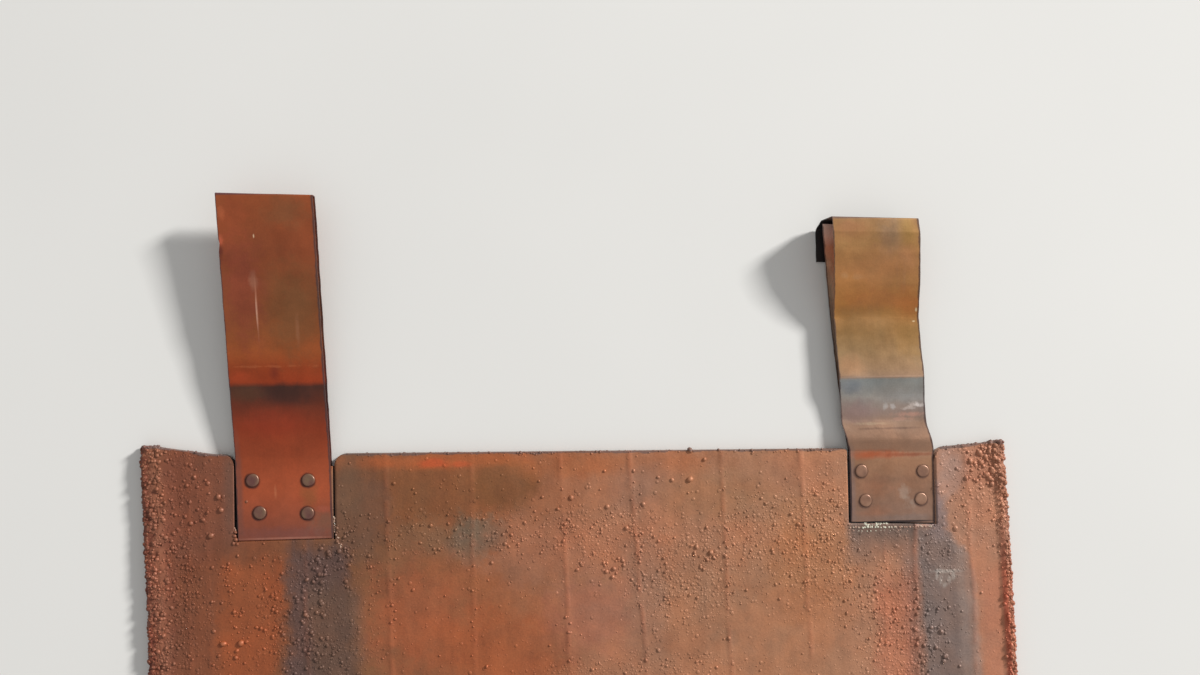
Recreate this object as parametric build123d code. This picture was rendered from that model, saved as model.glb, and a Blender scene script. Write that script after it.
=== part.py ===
from build123d import *
import os
from math import radians, tan

# Plate, in millimetres, seen with its loops pointing up the page (+Y)
plate_width = 960.0
plate_height = 1000.0
field_thickness = 8.0
top_edge_fall = 0.013
# How far both upright edges wander sideways at the top, halfway down and at the bottom
drift_top = -4.5
drift_middle = 8.5
drift_bottom = 5.5
left_corner_rise = 10.0
right_corner_rise = 6.0
corner_rise_length = 70.0

# Thick rounded bead that the copper grows round the sides and the bottom
bead_width = 18.0
bead_thickness = 12.0
bead_rounding = 4.5
bead_corner_radius = 24.0

# Strips of the two loops
strip_thickness = 1.0
left_strip_width = 102.0
right_strip_width = 97.0
floor_gap = 0.5
tab_depth = 88.0

# Loop places: each strip's middle, in from the plate's edge, and its drift sideways
left_strip_inset = 150.3
right_strip_inset = 134.0
left_tip_drift = -10.6
right_jog = -8.5
jog_start = -6.0
jog_end = 24.0
right_tip_drift = -23.7
right_back_drift = -27.1

# Height of each front leg's face above (+) or below (-) the plate's face
left_front_proud = 0.5
right_front_proud = -1.5
back_leg_sink = 1.5

# Pockets that the deposit leaves round the legs
left_pocket_gap = 4.5
left_pocket_inner_gap = 2.0
right_pocket_gap = 3.2
right_pocket_outer_gap = 1.2
pocket_end_gap = 1.5
back_pocket_gap = 3.0
groove_depth = 4.0
notch_depth = 14.0
sheet_edge_drop = 4.0
left_shoulder_radii = (16.0, 12.0)
right_shoulder_radii = (4.0, 13.0)

# Left loop: a nearly flat loop that rises from the plate to its folded tip
left_reach = 285.0
left_crease = 81.0
left_crease_rise = 10.5
left_tip_rise = 31.5
left_opening = 9.0
left_back_bend = 8.0

# Right loop: a wavy front strip hooked over a back strip
right_reach = 253.0
right_tip_rise = 33.0
right_crown_length = 16.0
right_crown_bulge = 0.5
tail_length = 46.0
tail_flare = 7.0
hook_lean = 1.0
hook_foot = 14.0
hook_chamfer = 9.0

# Side view of the right front strip: share of its reach, rise above the tab, bend radius
right_lip = (-8.0, 0.0, 6.0)
right_wave = (
    (0.024, 5.0, 14.0),
    (0.111, 2.5, 18.0),
    (0.221, 5.0, 30.0),
    (0.304, 9.5, 4.0),
    (0.435, 8.0, 36.0),
    (0.577, 8.0, 28.0),
    (0.719, 21.0, 34.0),
    (0.846, 30.0, 18.0),
)
right_crown_bend = 8.0

# Back strip: how far it ends short of the fold, its rise there and its low stretch
back_strip_gap = 5.0
back_strip_rise = 11.5
back_strip_lip = -2.0
back_strip_lift = 4.5
back_strip_stations = (0.105, 0.524, 0.742)
back_strip_bends = (30.0, 40.0, 60.0, 60.0)

# Bends, measured on the middle of the strip
soft_bend = 22.0
crease_bend = 3.0
fold_bend = 1.6
hook_bend = 5.0

# Crease lines slope a little down to the right, and so does the right tab's cut end
crease_slope = 1.8
left_end_slope = 0.0
right_end_slope = 2.2

# Rivets: distances from the strip's middle and from the plate's top edge
left_rivets = ((-35.0, -23.0), (25.0, -24.0), (-27.5, -58.5), (24.0, -60.0))
right_rivets = ((-35.0, -29.5), (36.0, -31.0), (-31.0, -63.0), (33.0, -62.5))
shank_radius = 3.0
shank_clearance = 0.1
head_radius = 7.0
head_brim = 0.5
head_chamfer = 0.6
left_head_height = 1.6
right_head_height = 0.9
back_head_height = 1.3

# Places and levels, taken from the sizes above
left_strip_x = left_strip_inset - plate_width / 2
right_strip_x = plate_width / 2 - right_strip_inset
back_strip_reach = right_reach - back_strip_gap
middle_level = bead_thickness / 2
face_level = middle_level + field_thickness / 2
underside_level = middle_level - field_thickness / 2
left_seat = face_level + left_front_proud - strip_thickness
right_seat = face_level + right_front_proud - strip_thickness
back_seat = underside_level + back_leg_sink + strip_thickness
overshoot = 20.0
tab_start = -tab_depth - overshoot


def prism(face, low, high):
    """Stand a flat outline up between two levels."""
    return Pos(0, 0, low) * extrude(face, high - low)


def upright_edge(x, corner_rise):
    """Middle line of one upright stretch of the bead, a little bowed, from the top down."""
    top = -top_edge_fall * x + corner_rise
    bottom = -plate_height + bead_width / 2
    return ThreePointArc(
        (x + drift_top, top), (x + drift_middle, -plate_height / 2), (x + drift_bottom, bottom)
    )


def bead_path():
    """Middle line of the bead: down the left edge, along the bottom, up the right edge."""
    reach = (plate_width - bead_width) / 2
    left_edge = upright_edge(-reach, left_corner_rise)
    right_edge = upright_edge(reach, right_corner_rise)
    bottom_edge = Line(left_edge @ 1, right_edge @ 1)
    sharp = Wire([left_edge, bottom_edge, right_edge])
    corners = sharp.vertices().filter_by(lambda corner: corner.Y < -plate_height / 2)
    return sharp.fillet_2d(bead_corner_radius, corners)


def edge_bead(path):
    """The bead: one rounded section swept round three edges."""
    section = Plane(path @ 0, z_dir=path % 0) * RectangleRounded(
        bead_width, bead_thickness, bead_rounding
    )
    bead = sweep(section, path, transition=Transition.ROUND)
    return Pos(0, 0, middle_level) * bead


def top_edge_y(x):
    return -top_edge_fall * x


def field_outline(path):
    """Outline of the broad faces, inside the bead, up to the top edge."""
    left_top = path @ 0
    right_top = path @ 1
    left_knee = left_top.X + corner_rise_length
    right_knee = right_top.X - corner_rise_length
    top = Polyline(
        right_top,
        (right_knee, top_edge_y(right_knee)),
        (left_knee, top_edge_y(left_knee)),
        left_top,
    )
    return make_face(path.edges() + top.edges())


def end_drop(slope, reach):
    """How far a cut end that slopes down to the right has fallen at a sideways reach."""
    return reach * tan(radians(slope))


def pocket_outline(strip_x, width, slope, gaps):
    """Outline round a leg, with its own gap on each side, open at the top."""
    low = -tab_depth - pocket_end_gap
    left = width / 2 + gaps[0]
    right = width / 2 + gaps[1]
    corners = Polyline(
        (strip_x - left, low + end_drop(slope, left)),
        (strip_x + right, low - end_drop(slope, right)),
        (strip_x + right, overshoot),
        (strip_x - left, overshoot),
        close=True,
    )
    return make_face(corners)


def notch_outline(strip_x, width, slope, gaps):
    """Notch in the top edge, as wide as the pocket below it."""
    left = strip_x - width / 2 - gaps[0]
    right = strip_x + width / 2 + gaps[1]
    low = top_edge_y(strip_x) - notch_depth
    high = overshoot
    return Pos((left + right) / 2, (low + high) / 2) * Rectangle(right - left, high - low)


left_gaps = (left_pocket_gap, left_pocket_inner_gap)
right_gaps = (right_pocket_gap, right_pocket_outer_gap)
back_gaps = (back_pocket_gap, back_pocket_gap)
left_loop_place = (left_strip_x, left_strip_width, left_end_slope)
right_loop_place = (right_strip_x, right_strip_width, right_end_slope)


def notched_field(outline):
    """Both deposits and the sheet, with two notches whose four shoulders are rounded."""
    left_notch = notch_outline(*left_loop_place, left_gaps)
    right_notch = notch_outline(*right_loop_place, right_gaps)
    field = prism(outline - left_notch - right_notch, underside_level, face_level)
    corners = [
        (left_strip_x - left_strip_width / 2 - left_gaps[0], left_shoulder_radii[0]),
        (left_strip_x + left_strip_width / 2 + left_gaps[1], left_shoulder_radii[1]),
        (right_strip_x - right_strip_width / 2 - right_gaps[0], right_shoulder_radii[0]),
        (right_strip_x + right_strip_width / 2 + right_gaps[1], right_shoulder_radii[1]),
    ]
    for x, radius in corners:
        upright = field.edges().filter_by(Axis.Z)
        shoulder = upright.sort_by_distance((x, top_edge_y(x), middle_level))[0]
        field = fillet(shoulder, min(radius, 0.9 * notch_depth))
    return field


def sheet_tongue(strip_x, width, seat):
    """The sheet itself, bare between the two legs, where the notch cuts the deposit away."""
    high = top_edge_y(strip_x) - sheet_edge_drop
    low = high - notch_depth
    tongue_width = width - 2 * head_radius
    outline = Pos(strip_x, (low + high) / 2) * Rectangle(tongue_width, high - low)
    return prism(outline, back_seat, seat)


def rivet_places(strip_x, rivets):
    return [(strip_x + dx, y) for dx, y in rivets]


def rivet_holes(strip_x, rivets):
    hole = Cylinder(shank_radius + shank_clearance, 6 * bead_thickness)
    return [Pos(x, y, middle_level) * hole for x, y in rivet_places(strip_x, rivets)]


def cathode_plate():
    path = bead_path()
    plate = notched_field(field_outline(path))
    for place, gaps, seat in (
        (left_loop_place, left_gaps, left_seat),
        (right_loop_place, right_gaps, right_seat),
    ):
        front = pocket_outline(*place, gaps)
        back = pocket_outline(*place, back_gaps)
        plate -= prism(front, seat, face_level + overshoot)
        plate -= prism(back, underside_level - overshoot, back_seat)
    left_pocket = pocket_outline(*left_loop_place, left_gaps)
    left_leg = Pos(left_strip_x, 0) * Rectangle(left_strip_width, 4 * tab_depth)
    plate -= prism(left_pocket - left_leg, face_level - groove_depth, face_level)
    plate += sheet_tongue(left_strip_x, left_strip_width, left_seat)
    plate += sheet_tongue(right_strip_x, right_strip_width, right_seat)
    plate += edge_bead(path)
    holes = rivet_holes(left_strip_x, left_rivets) + rivet_holes(right_strip_x, right_rivets)
    for hole in holes:
        plate -= hole
    return plate


def strip_section(points, radii):
    """Side view of a bent strip: the middle line widened to the strip's thickness."""
    return trace(FilletPolyline(*points, radius=radii), strip_thickness)


def crease_direction():
    return Vector(1, 0, 0).rotate(Axis.Z, -crease_slope)


def bent_strip(section, x, width):
    """Pull a side view across the strip, along its crease lines, wider than the strip."""
    reach = width + 6 * overshoot
    along = crease_direction()
    start = Vector(x, 0, 0) - along * (reach / 2)
    side_view = Plane(start, x_dir=(0, 1, 0), z_dir=(1, 0, 0)) * section
    return extrude(side_view, reach, dir=along)


def strip_plan(middle, width, slope):
    """Plan of a strip: both long edges follow one middle line, from the tab's cut end."""
    left = [(x - width / 2, y) for x, y in middle]
    right = [(x + width / 2, y) for x, y in middle]
    left[0] = (left[0][0], left[0][1] + end_drop(slope, width / 2))
    right[0] = (right[0][0], right[0][1] - end_drop(slope, width / 2))
    right.reverse()
    outline = make_face(Polyline(*left, *right, close=True))
    return prism(outline, -overshoot, 4 * overshoot)


def left_loop():
    """One strip, folded over at the tip, with both legs in the plate's pockets."""
    front = left_seat + strip_thickness / 2
    back = back_seat - strip_thickness / 2
    between = left_opening + strip_thickness
    tip_front = front + left_tip_rise
    crease_front = front + left_crease_rise
    points = [
        (tab_start, front),
        (0, front),
        (left_crease, crease_front),
        (left_reach - strip_thickness / 2, tip_front),
        (left_reach - strip_thickness / 2, tip_front - between),
        (left_crease, crease_front - between),
        (left_back_bend, back),
        (tab_start, back),
    ]
    radii = [soft_bend, crease_bend, fold_bend, fold_bend, soft_bend, soft_bend]
    section = strip_section(points, radii)
    lean = left_tip_drift / (left_reach + tab_depth)
    high = left_reach + overshoot
    middle = [
        (left_strip_x, -tab_depth),
        (left_strip_x + lean * (high + tab_depth), high),
    ]
    plan = strip_plan(middle, left_strip_width, left_end_slope)
    loop = bent_strip(section, left_strip_x, left_strip_width) & plan
    for hole in rivet_holes(left_strip_x, left_rivets):
        loop -= hole
    return loop


def right_middle_line(drift, jog):
    """Middle line in plan: straight on the plate, a jog past its edge, then the lean."""
    high = right_reach + overshoot
    jog_x = right_strip_x + jog
    tip_x = right_strip_x + drift
    slope = (tip_x - jog_x) / (right_reach - jog_end)
    return [
        (right_strip_x, -tab_depth),
        (right_strip_x, jog_start),
        (jog_x, jog_end),
        (tip_x + slope * overshoot, high),
    ]


def right_loop_front():
    """Wavy front leg, square fold over the top and a short tail behind the back strip."""
    front = right_seat + strip_thickness / 2
    tip = right_reach - strip_thickness / 2
    top = front + right_tip_rise
    tail = floor_gap + strip_thickness / 2
    lip_y, lip_rise, lip_bend = right_lip
    lip = [(tab_start, front), (lip_y, front + lip_rise)]
    wave = [(share * right_reach, front + rise) for share, rise, bend in right_wave]
    wave_bends = [bend for share, rise, bend in right_wave]
    crown = [(tip - right_crown_length, top + right_crown_bulge), (tip, top)]
    hook = [
        (tip - hook_lean, tail + hook_foot),
        (tip - hook_chamfer, tail),
        (tip - tail_length, tail),
    ]
    hook_bends = [right_crown_bend, fold_bend, hook_bend, hook_bend]
    bends = [lip_bend] + wave_bends + hook_bends
    section = strip_section(lip + wave + crown + hook, bends)
    solid = bent_strip(section, right_strip_x, right_strip_width)
    middle = right_middle_line(right_tip_drift, right_jog)
    plan = strip_plan(middle, right_strip_width, right_end_slope)
    hook_space = lower_hook_space(front, top)
    leg = (solid - hook_space) & plan
    skewed = solid & hook_skew(top, tail) & hook_space
    loop = leg + skewed
    for hole in rivet_holes(right_strip_x, right_rivets):
        loop -= hole
    return loop


def lower_hook_space(front, top):
    """Space that holds the fold's wall and the tail, under and behind the front leg."""
    low = right_reach - tail_length - 3 * strip_thickness
    wall = right_reach - 4 * strip_thickness
    outline = make_face(
        Polyline(
            (low, -overshoot),
            (right_reach + overshoot, -overshoot),
            (right_reach + overshoot, top - strip_thickness),
            (wall, top - strip_thickness),
            (low, front),
            close=True,
        )
    )
    side_view = Plane((-plate_width, 0, 0), x_dir=(0, 1, 0), z_dir=(1, 0, 0)) * outline
    return extrude(side_view, 2 * plate_width)


def hook_skew(top, tail):
    """Front view of the hook, which leans outward as it goes down to the tail."""
    middle = right_strip_x + right_tip_drift
    half = right_strip_width / 2
    outline = make_face(
        Polyline(
            (middle - half, top),
            (middle + half, top),
            (middle + half - tail_flare, tail - strip_thickness),
            (middle - half - tail_flare, tail - strip_thickness),
            close=True,
        )
    )
    front_view = Plane((0, 0, 0), x_dir=(1, 0, 0), z_dir=(0, -1, 0)) * outline
    return extrude(front_view, 3 * right_reach, both=True)


def right_loop_back():
    """Back strip: flat under the plate, low along the floor, then up inside the hook."""
    back = back_seat - strip_thickness / 2
    low = floor_gap + strip_thickness
    first, second, third = (share * back_strip_reach for share in back_strip_stations)
    points = [
        (tab_start, back),
        (back_strip_lip, back),
        (first, low),
        (second, low),
        (third, low + back_strip_lift),
        (back_strip_reach, back + back_strip_rise),
    ]
    section = strip_section(points, list(back_strip_bends))
    middle = right_middle_line(right_back_drift, right_jog / 2)
    plan = strip_plan(middle, right_strip_width, right_end_slope)
    strip = bent_strip(section, right_strip_x, right_strip_width) & plan
    for hole in rivet_holes(right_strip_x, right_rivets):
        strip -= hole
    return strip


def rivet(seat, head_height):
    """Turned rivet: domed head in front, shank through both legs, flat head behind."""
    low = back_seat - strip_thickness
    high = seat + strip_thickness
    brim = high + head_height * head_brim
    profile = Polyline(
        (0, low - back_head_height),
        (head_radius - head_chamfer, low - back_head_height),
        (head_radius, low - back_head_height + head_chamfer),
        (head_radius, low),
        (shank_radius, low),
        (shank_radius, high),
        (head_radius, high),
        (head_radius, brim),
    )
    dome = TangentArc((0, high + head_height), (head_radius, brim), tangent=(1, 0))
    axis_line = Line((0, high + head_height), (0, low - back_head_height))
    half = make_face(profile.edges() + dome.edges() + axis_line.edges())
    return revolve(Plane.XZ * half, Axis.Z)


def all_pieces():
    pieces = {
        "cathode_plate": cathode_plate(),
        "left_loop": left_loop(),
        "right_loop_front": right_loop_front(),
        "right_loop_back": right_loop_back(),
    }
    left_rivet = rivet(left_seat, left_head_height)
    right_rivet = rivet(right_seat, right_head_height)
    for number, (x, y) in enumerate(rivet_places(left_strip_x, left_rivets), 1):
        pieces[f"rivet_left_{number}"] = Pos(x, y, 0) * left_rivet
    for number, (x, y) in enumerate(rivet_places(right_strip_x, right_rivets), 1):
        pieces[f"rivet_right_{number}"] = Pos(x, y, 0) * right_rivet
    return pieces


# Every piece is moved so that the origin is under the middle of the whole object
pieces = all_pieces()
boxes = [solid.bounding_box() for solid in pieces.values()]
left = min(box.min.X for box in boxes)
right = max(box.max.X for box in boxes)
bottom = min(box.min.Y for box in boxes)
top = max(box.max.Y for box in boxes)
floor = min(box.min.Z for box in boxes)
to_origin = Pos(-(left + right) / 2, -(bottom + top) / 2, -floor)
os.makedirs("parts", exist_ok=True)
for node, solid in pieces.items():
    export_step(to_origin * solid, f"parts/{node}.step")
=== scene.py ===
import random
from functools import cache, wraps
from math import pi, radians

import bmesh
import bpy
from bpy.props import FloatProperty, FloatVectorProperty, IntProperty, PointerProperty
from bpy.types import Operator, Panel, PropertyGroup
from mathutils import Euler, Matrix, Vector, noise


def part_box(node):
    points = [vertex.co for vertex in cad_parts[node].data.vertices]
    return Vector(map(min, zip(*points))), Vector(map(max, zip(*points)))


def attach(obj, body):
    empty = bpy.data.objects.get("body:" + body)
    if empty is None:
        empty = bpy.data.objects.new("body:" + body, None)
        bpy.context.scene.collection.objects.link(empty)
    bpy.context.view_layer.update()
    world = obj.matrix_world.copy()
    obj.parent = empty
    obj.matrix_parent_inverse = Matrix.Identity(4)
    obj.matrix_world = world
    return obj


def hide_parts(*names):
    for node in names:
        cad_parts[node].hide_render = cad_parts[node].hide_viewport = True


bl_info = {
    "name": "Copper Cathode Dresser",
    "version": (1, 0, 0),
    "blender": (4, 5, 0),
    "location": "View3D > Sidebar > Cathode",
    "description": "Dresses a copper cathode: plate, nodules, loops, rivets and a pale floor",
    "category": "Add Mesh",
}

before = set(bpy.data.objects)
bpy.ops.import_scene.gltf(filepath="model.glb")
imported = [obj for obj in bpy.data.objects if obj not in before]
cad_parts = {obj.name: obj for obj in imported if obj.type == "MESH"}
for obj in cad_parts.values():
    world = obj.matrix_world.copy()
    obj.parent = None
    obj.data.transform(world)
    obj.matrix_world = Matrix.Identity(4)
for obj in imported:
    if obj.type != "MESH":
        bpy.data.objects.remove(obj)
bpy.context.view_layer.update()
BODY = "root"
MM = 0.001
UP = Vector((0, 0, 1))

# The plate's drawing starts at the middle of its top edge. The left tab's corner gives that point
TAB_DEPTH = 88 * MM
LEFT_TAB_CORNER_X = -278.7 * MM
LEFT_LOW, LEFT_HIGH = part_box("left_loop")
RIGHT_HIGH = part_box("right_loop_front")[1]
PLATE_LOW, PLATE_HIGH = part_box("cathode_plate")
ORIGIN = Vector((LEFT_HIGH.x - LEFT_TAB_CORNER_X, LEFT_LOW.y + TAB_DEPTH, 0.0))
BEAD_RISE = 2 * MM
FACE_Z = PLATE_HIGH.z - BEAD_RISE
PLATE_MIDDLE_Z = (PLATE_LOW.z + PLATE_HIGH.z) / 2

# Outline of the plate in its drawing: how both upright edges wander, and the falling top edge
EDGE_DRIFT_TOP = -4.5 * MM
EDGE_DRIFT_MIDDLE = 8.5 * MM
EDGE_DRIFT_BOTTOM = 5.5 * MM
HALF_WIDTH = (PLATE_HIGH.x - PLATE_LOW.x + EDGE_DRIFT_TOP - EDGE_DRIFT_MIDDLE) / 2
HEIGHT = ORIGIN.y - PLATE_LOW.y
TOP_EDGE_FALL = 0.013
BEAD_WIDTH = 18 * MM

LEFT_CORNER_RISE = 10 * MM
RIGHT_CORNER_RISE = 6 * MM
CORNER_RISE_START = 78.5 * MM
CORNER_RISE_END = 8.5 * MM

# Strips of the two loops in the drawing: middle of the tab, width and reach
LEFT_STRIP_WIDTH = 102 * MM
RIGHT_STRIP_WIDTH = 97 * MM
LEFT_STRIP_X = LEFT_TAB_CORNER_X - LEFT_STRIP_WIDTH / 2
RIGHT_TAB_CORNER_X = RIGHT_HIGH.x - ORIGIN.x
RIGHT_STRIP_X = RIGHT_TAB_CORNER_X - RIGHT_STRIP_WIDTH / 2
LEFT_REACH = LEFT_HIGH.y - ORIGIN.y
RIGHT_REACH = RIGHT_HIGH.y - ORIGIN.y

# Each strip's middle line: its start, its sideways jog at the plate's edge,
# the height where its lean starts, and the lean
STRIP_LINES = {
    "left": (LEFT_STRIP_X, 0.0, -TAB_DEPTH, 0.0284),
    "right": (RIGHT_STRIP_X, 8.5 * MM, 24 * MM, 0.0664),
    "back": (RIGHT_STRIP_X, 5.2 * MM, 34 * MM, 0.1),
}
JOG_START = -6 * MM
# Radius of the rivets' heads, in millimetres
RIVET_HEAD = 7.0


def paint(red, green, blue):
    """A colour as it looks on screen, 0 to 255, as the linear colour that materials take."""
    def linear(level):
        share = level / 255
        return share / 12.92 if share <= 0.04045 else ((share + 0.055) / 1.055) ** 2.4
    return (linear(red), linear(green), linear(blue), 1.0)


def smooth_step(value, low, high):
    """Share of the way from low to high, eased at both ends."""
    share = min(max((value - low) / (high - low), 0.0), 1.0)
    return share * share * (3 - 2 * share)


def drawn(place):
    """A point of the model as a point of the plate's drawing."""
    return place - ORIGIN


def length_setting(name, description, default):
    return FloatProperty(name=name, description=description, default=default, unit="LENGTH")


def count_setting(name, description, default):
    return IntProperty(name=name, description=description, default=default)


def colour_setting(name, description, tint):
    return FloatVectorProperty(
        name=name, description=description, default=paint(*tint), subtype="COLOR", size=4,
        min=0, max=1)


class CathodePlateSettings(PropertyGroup):
    """Mesh steps of the grown plate and sizes of its relief."""
    near_step: length_setting(
        "Near step", "Mesh step on the upper part of the front face", 3.5 * MM)
    rim_step: length_setting("Rim step", "Mesh step on the lower part of the thick edge", 5 * MM)
    far_step: length_setting("Far step", "Mesh step on the rest of the front face", 10 * MM)
    back_step: length_setting("Back step", "Mesh step on the underside", 20 * MM)
    near_height: length_setting("Near height", "Height of the finely meshed upper part", 290 * MM)
    waviness: length_setting("Waviness", "Slow swell of the deposit", 0.7 * MM)
    lumpiness: length_setting("Lumpiness", "Close swell of the deposit", 0.45 * MM)
    ridge_height: length_setting("Ridge height", "Height of the upright growth ridges", 0.4 * MM)
    bead_lumps: length_setting("Bead lumps", "Height of the lumps on the thick edge", 2.2 * MM)
    strip_dents: length_setting("Strip dents", "Depth of the dents in the loops' strips", 0.8 * MM)


class CathodeNoduleSettings(PropertyGroup):
    """Number and size of the nodules."""
    seed: count_setting("Seed", "Start of the random draws", 11)
    face_smallest: length_setting(
        "Smallest on the faces", "Radius of the smallest nodules on the faces", 0.8 * MM)
    face_largest: length_setting(
        "Largest on the faces", "Radius of the largest drawn nodules on the faces", 2.5 * MM)
    edge_smallest: length_setting(
        "Smallest on the edges", "Radius of the smallest nodules on the edges", 1.2 * MM)
    edge_largest: length_setting(
        "Largest on the edges", "Radius of the largest nodules on the edges", 3.2 * MM)
    left_edge: count_setting("Left edge", "Nodules on the left band", 2700)
    right_edge: count_setting("Right edge", "Nodules on the right band", 2150)
    bottom_edge: count_setting("Bottom edge", "Nodules on the bottom band", 1500)
    top_rim: count_setting("Top rim", "Nodules along the top edge", 260)
    upper_face: count_setting("Upper face", "Nodules on the upper part of the front face", 2450)
    lower_face: count_setting("Lower face", "Nodules on the rest of the front face", 2600)
    underside: count_setting("Underside", "Nodules on the back face", 700)


class CathodeFinishSettings(PropertyGroup):
    """Main colours."""
    # Painted highlight: a lighter colour painted on the nodules' tops where light falls on them
    painted_nodule_highlight: colour_setting("Nodule tip", "Painted highlight on the nodules' tops", (184, 124, 92))
    # Painted pocket shade: a near-black colour painted as shade on the pockets' walls and floors
    painted_pocket_shade: colour_setting("Crevice", "Painted shade in the pockets round the strips", (26, 16, 14))
    crust: colour_setting("Crust", "Pale salts at the pockets' ends", (212, 210, 188))
    crust_stained: colour_setting("Stained crust", "Salts stained by the copper", (170, 132, 112))


class CathodeStageSettings(PropertyGroup):
    """Floor, light and camera."""
    floor_colour: colour_setting("Floor", "Colour of the floor", (229, 227, 222))
    key_power: FloatProperty(
        name="Key power", description="Power of the main lamp in watts", default=3440, unit="POWER")
    sky_strength: FloatProperty(
        name="Sky strength", description="Strength of the even light from all round", default=0.44)
    lens: FloatProperty(
        name="Lens", description="Focal length in millimetres", default=27, unit="CAMERA")


class Wiring:
    """Short ways to add nodes to one tree and wire them up."""

    def __init__(self, tree):
        self.tree = tree

    def add(self, kind, inputs=None, **settings):
        node = self.tree.nodes.new(kind)
        for name, value in settings.items():
            setattr(node, name, value)
        for socket, value in (inputs or {}).items():
            self.plug(node.inputs[socket], value)
        return node

    def plug(self, socket, value):
        if isinstance(value, bpy.types.NodeSocket):
            self.tree.links.new(value, socket)
        else:
            socket.default_value = value

    def math(self, operation, first, *others):
        """One operation on two or more values, from left to right, or on a single one."""
        for other in others or (0.0,):
            node = self.add("ShaderNodeMath", {0: first, 1: other}, operation=operation)
            first = node.outputs[0]
        return first

    def plus(self, *values):
        return self.math("ADD", *values)

    def minus(self, first, second):
        return self.math("SUBTRACT", first, second)

    def times(self, *values):
        return self.math("MULTIPLY", *values)

    def apart(self, first, second):
        """Distance between two values."""
        return self.math("ABSOLUTE", self.minus(first, second))

    def swing(self, value, amount):
        """How far a noise is from its middle, times an amount."""
        return self.times(self.minus(value, 0.5), amount)

    def vector(self, operation, first, second):
        node = self.add("ShaderNodeVectorMath", {0: first, 1: second}, operation=operation)
        return node.outputs["Value" if operation == "LENGTH" else "Vector"]

    def noise(self, position, scale, detail=3.0, roughness=0.55):
        node = self.add(
            "ShaderNodeTexNoise",
            {"Vector": position, "Scale": scale, "Detail": detail, "Roughness": roughness})
        return node.outputs["Fac"]

    def stretched(self, position, scales, detail=3.0):
        """Noise with its own scale across the plate, along its height and into it."""
        return self.noise(self.vector("MULTIPLY", position, scales), 1.0, detail)

    def span(self, value, low, high, to_low=0.0, to_high=1.0, smooth=True):
        """A value's stretch from low to high, as a share, eased at both ends."""
        node = self.add(
            "ShaderNodeMapRange",
            {"Value": value, "From Min": low, "From Max": high,
             "To Min": to_low, "To Max": to_high},
            interpolation_type="SMOOTHSTEP" if smooth else "LINEAR")
        return node.outputs["Result"]

    def mix(self, factor, first, second, blend="MIX"):
        node = self.add("ShaderNodeMix", data_type="RGBA", blend_type=blend)
        for index, value in ((0, factor), (6, first), (7, second)):
            self.plug(node.inputs[index], value)
        return node.outputs[2]

    def lay(self, colour, mask, strength, tint):
        """A tint laid over a colour, by a mask and a strength."""
        return self.mix(self.times(mask, strength), colour, paint(*tint))

    def ramp(self, value, stops):
        """Colours along a value from 0 to 1, as (place, tint) pairs."""
        node = self.add("ShaderNodeValToRGB", {"Fac": value})
        marks = node.color_ramp.elements
        while len(marks) < len(stops):
            marks.new(0.5)
        for mark, (place, tint) in zip(marks, stops):
            mark.position = place
            mark.color = paint(*tint)
        return node.outputs["Color"]

    def split(self, position):
        return self.add("ShaderNodeSeparateXYZ", {0: position}).outputs[:3]

    def group(self, maker, **inputs):
        """Place a shared group, with spaces in its socket names written as underlines."""
        node = self.add("ShaderNodeGroup", node_tree=maker())
        for name, value in inputs.items():
            self.plug(node.inputs[name.replace("_", " ")], value)
        return node.outputs


FLOAT, VECTOR, COLOUR = "NodeSocketFloat", "NodeSocketVector", "NodeSocketColor"


def shared_group(name, inputs, outputs):
    """Turn a function that wires up a shader group into one that makes the group once.

    Each input has its kind of socket, or its default if it is a plain number."""
    def decorate(build):
        @wraps(build)
        def maker():
            if name in bpy.data.node_groups:
                return bpy.data.node_groups[name]
            tree = bpy.data.node_groups.new(name, "ShaderNodeTree")
            for socket, given in inputs.items():
                kind = given if isinstance(given, str) else FLOAT
                made = tree.interface.new_socket(name=socket, in_out="INPUT", socket_type=kind)
                if kind == FLOAT:
                    made.default_value = given
            for socket, kind in outputs.items():
                tree.interface.new_socket(name=socket, in_out="OUTPUT", socket_type=kind)
            wires = Wiring(tree)
            ends = wires.add("NodeGroupInput").outputs, wires.add("NodeGroupOutput").inputs
            build(wires, *ends)
            return tree
        return maker
    return decorate


@shared_group(
    "Ragged stain",
    {"Position": VECTOR, "Wander": 0.5, "Centre": VECTOR, "Reach": VECTOR,
     "Raggedness": 0.3, "Softness": 0.4},
    {"Mask": FLOAT})
def stain_group(wires, given, result):
    """A soft-edged oval mask with a ragged outline."""
    away = wires.vector("SUBTRACT", given["Position"], given["Centre"])
    share = wires.vector("DIVIDE", away, given["Reach"])
    flat = wires.vector("MULTIPLY", share, (1.0, 1.0, 0.0))
    distance = wires.vector("LENGTH", flat, (0.0, 0.0, 0.0))
    push = wires.times(wires.swing(given["Wander"], given["Raggedness"]), 5.0)
    past_rim = wires.minus(wires.plus(distance, push), 1.0)
    softened = wires.math("DIVIDE", past_rim, given["Softness"])
    wires.plug(result["Mask"], wires.span(softened, -1.0, 1.0, 1.0, 0.0))


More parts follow.
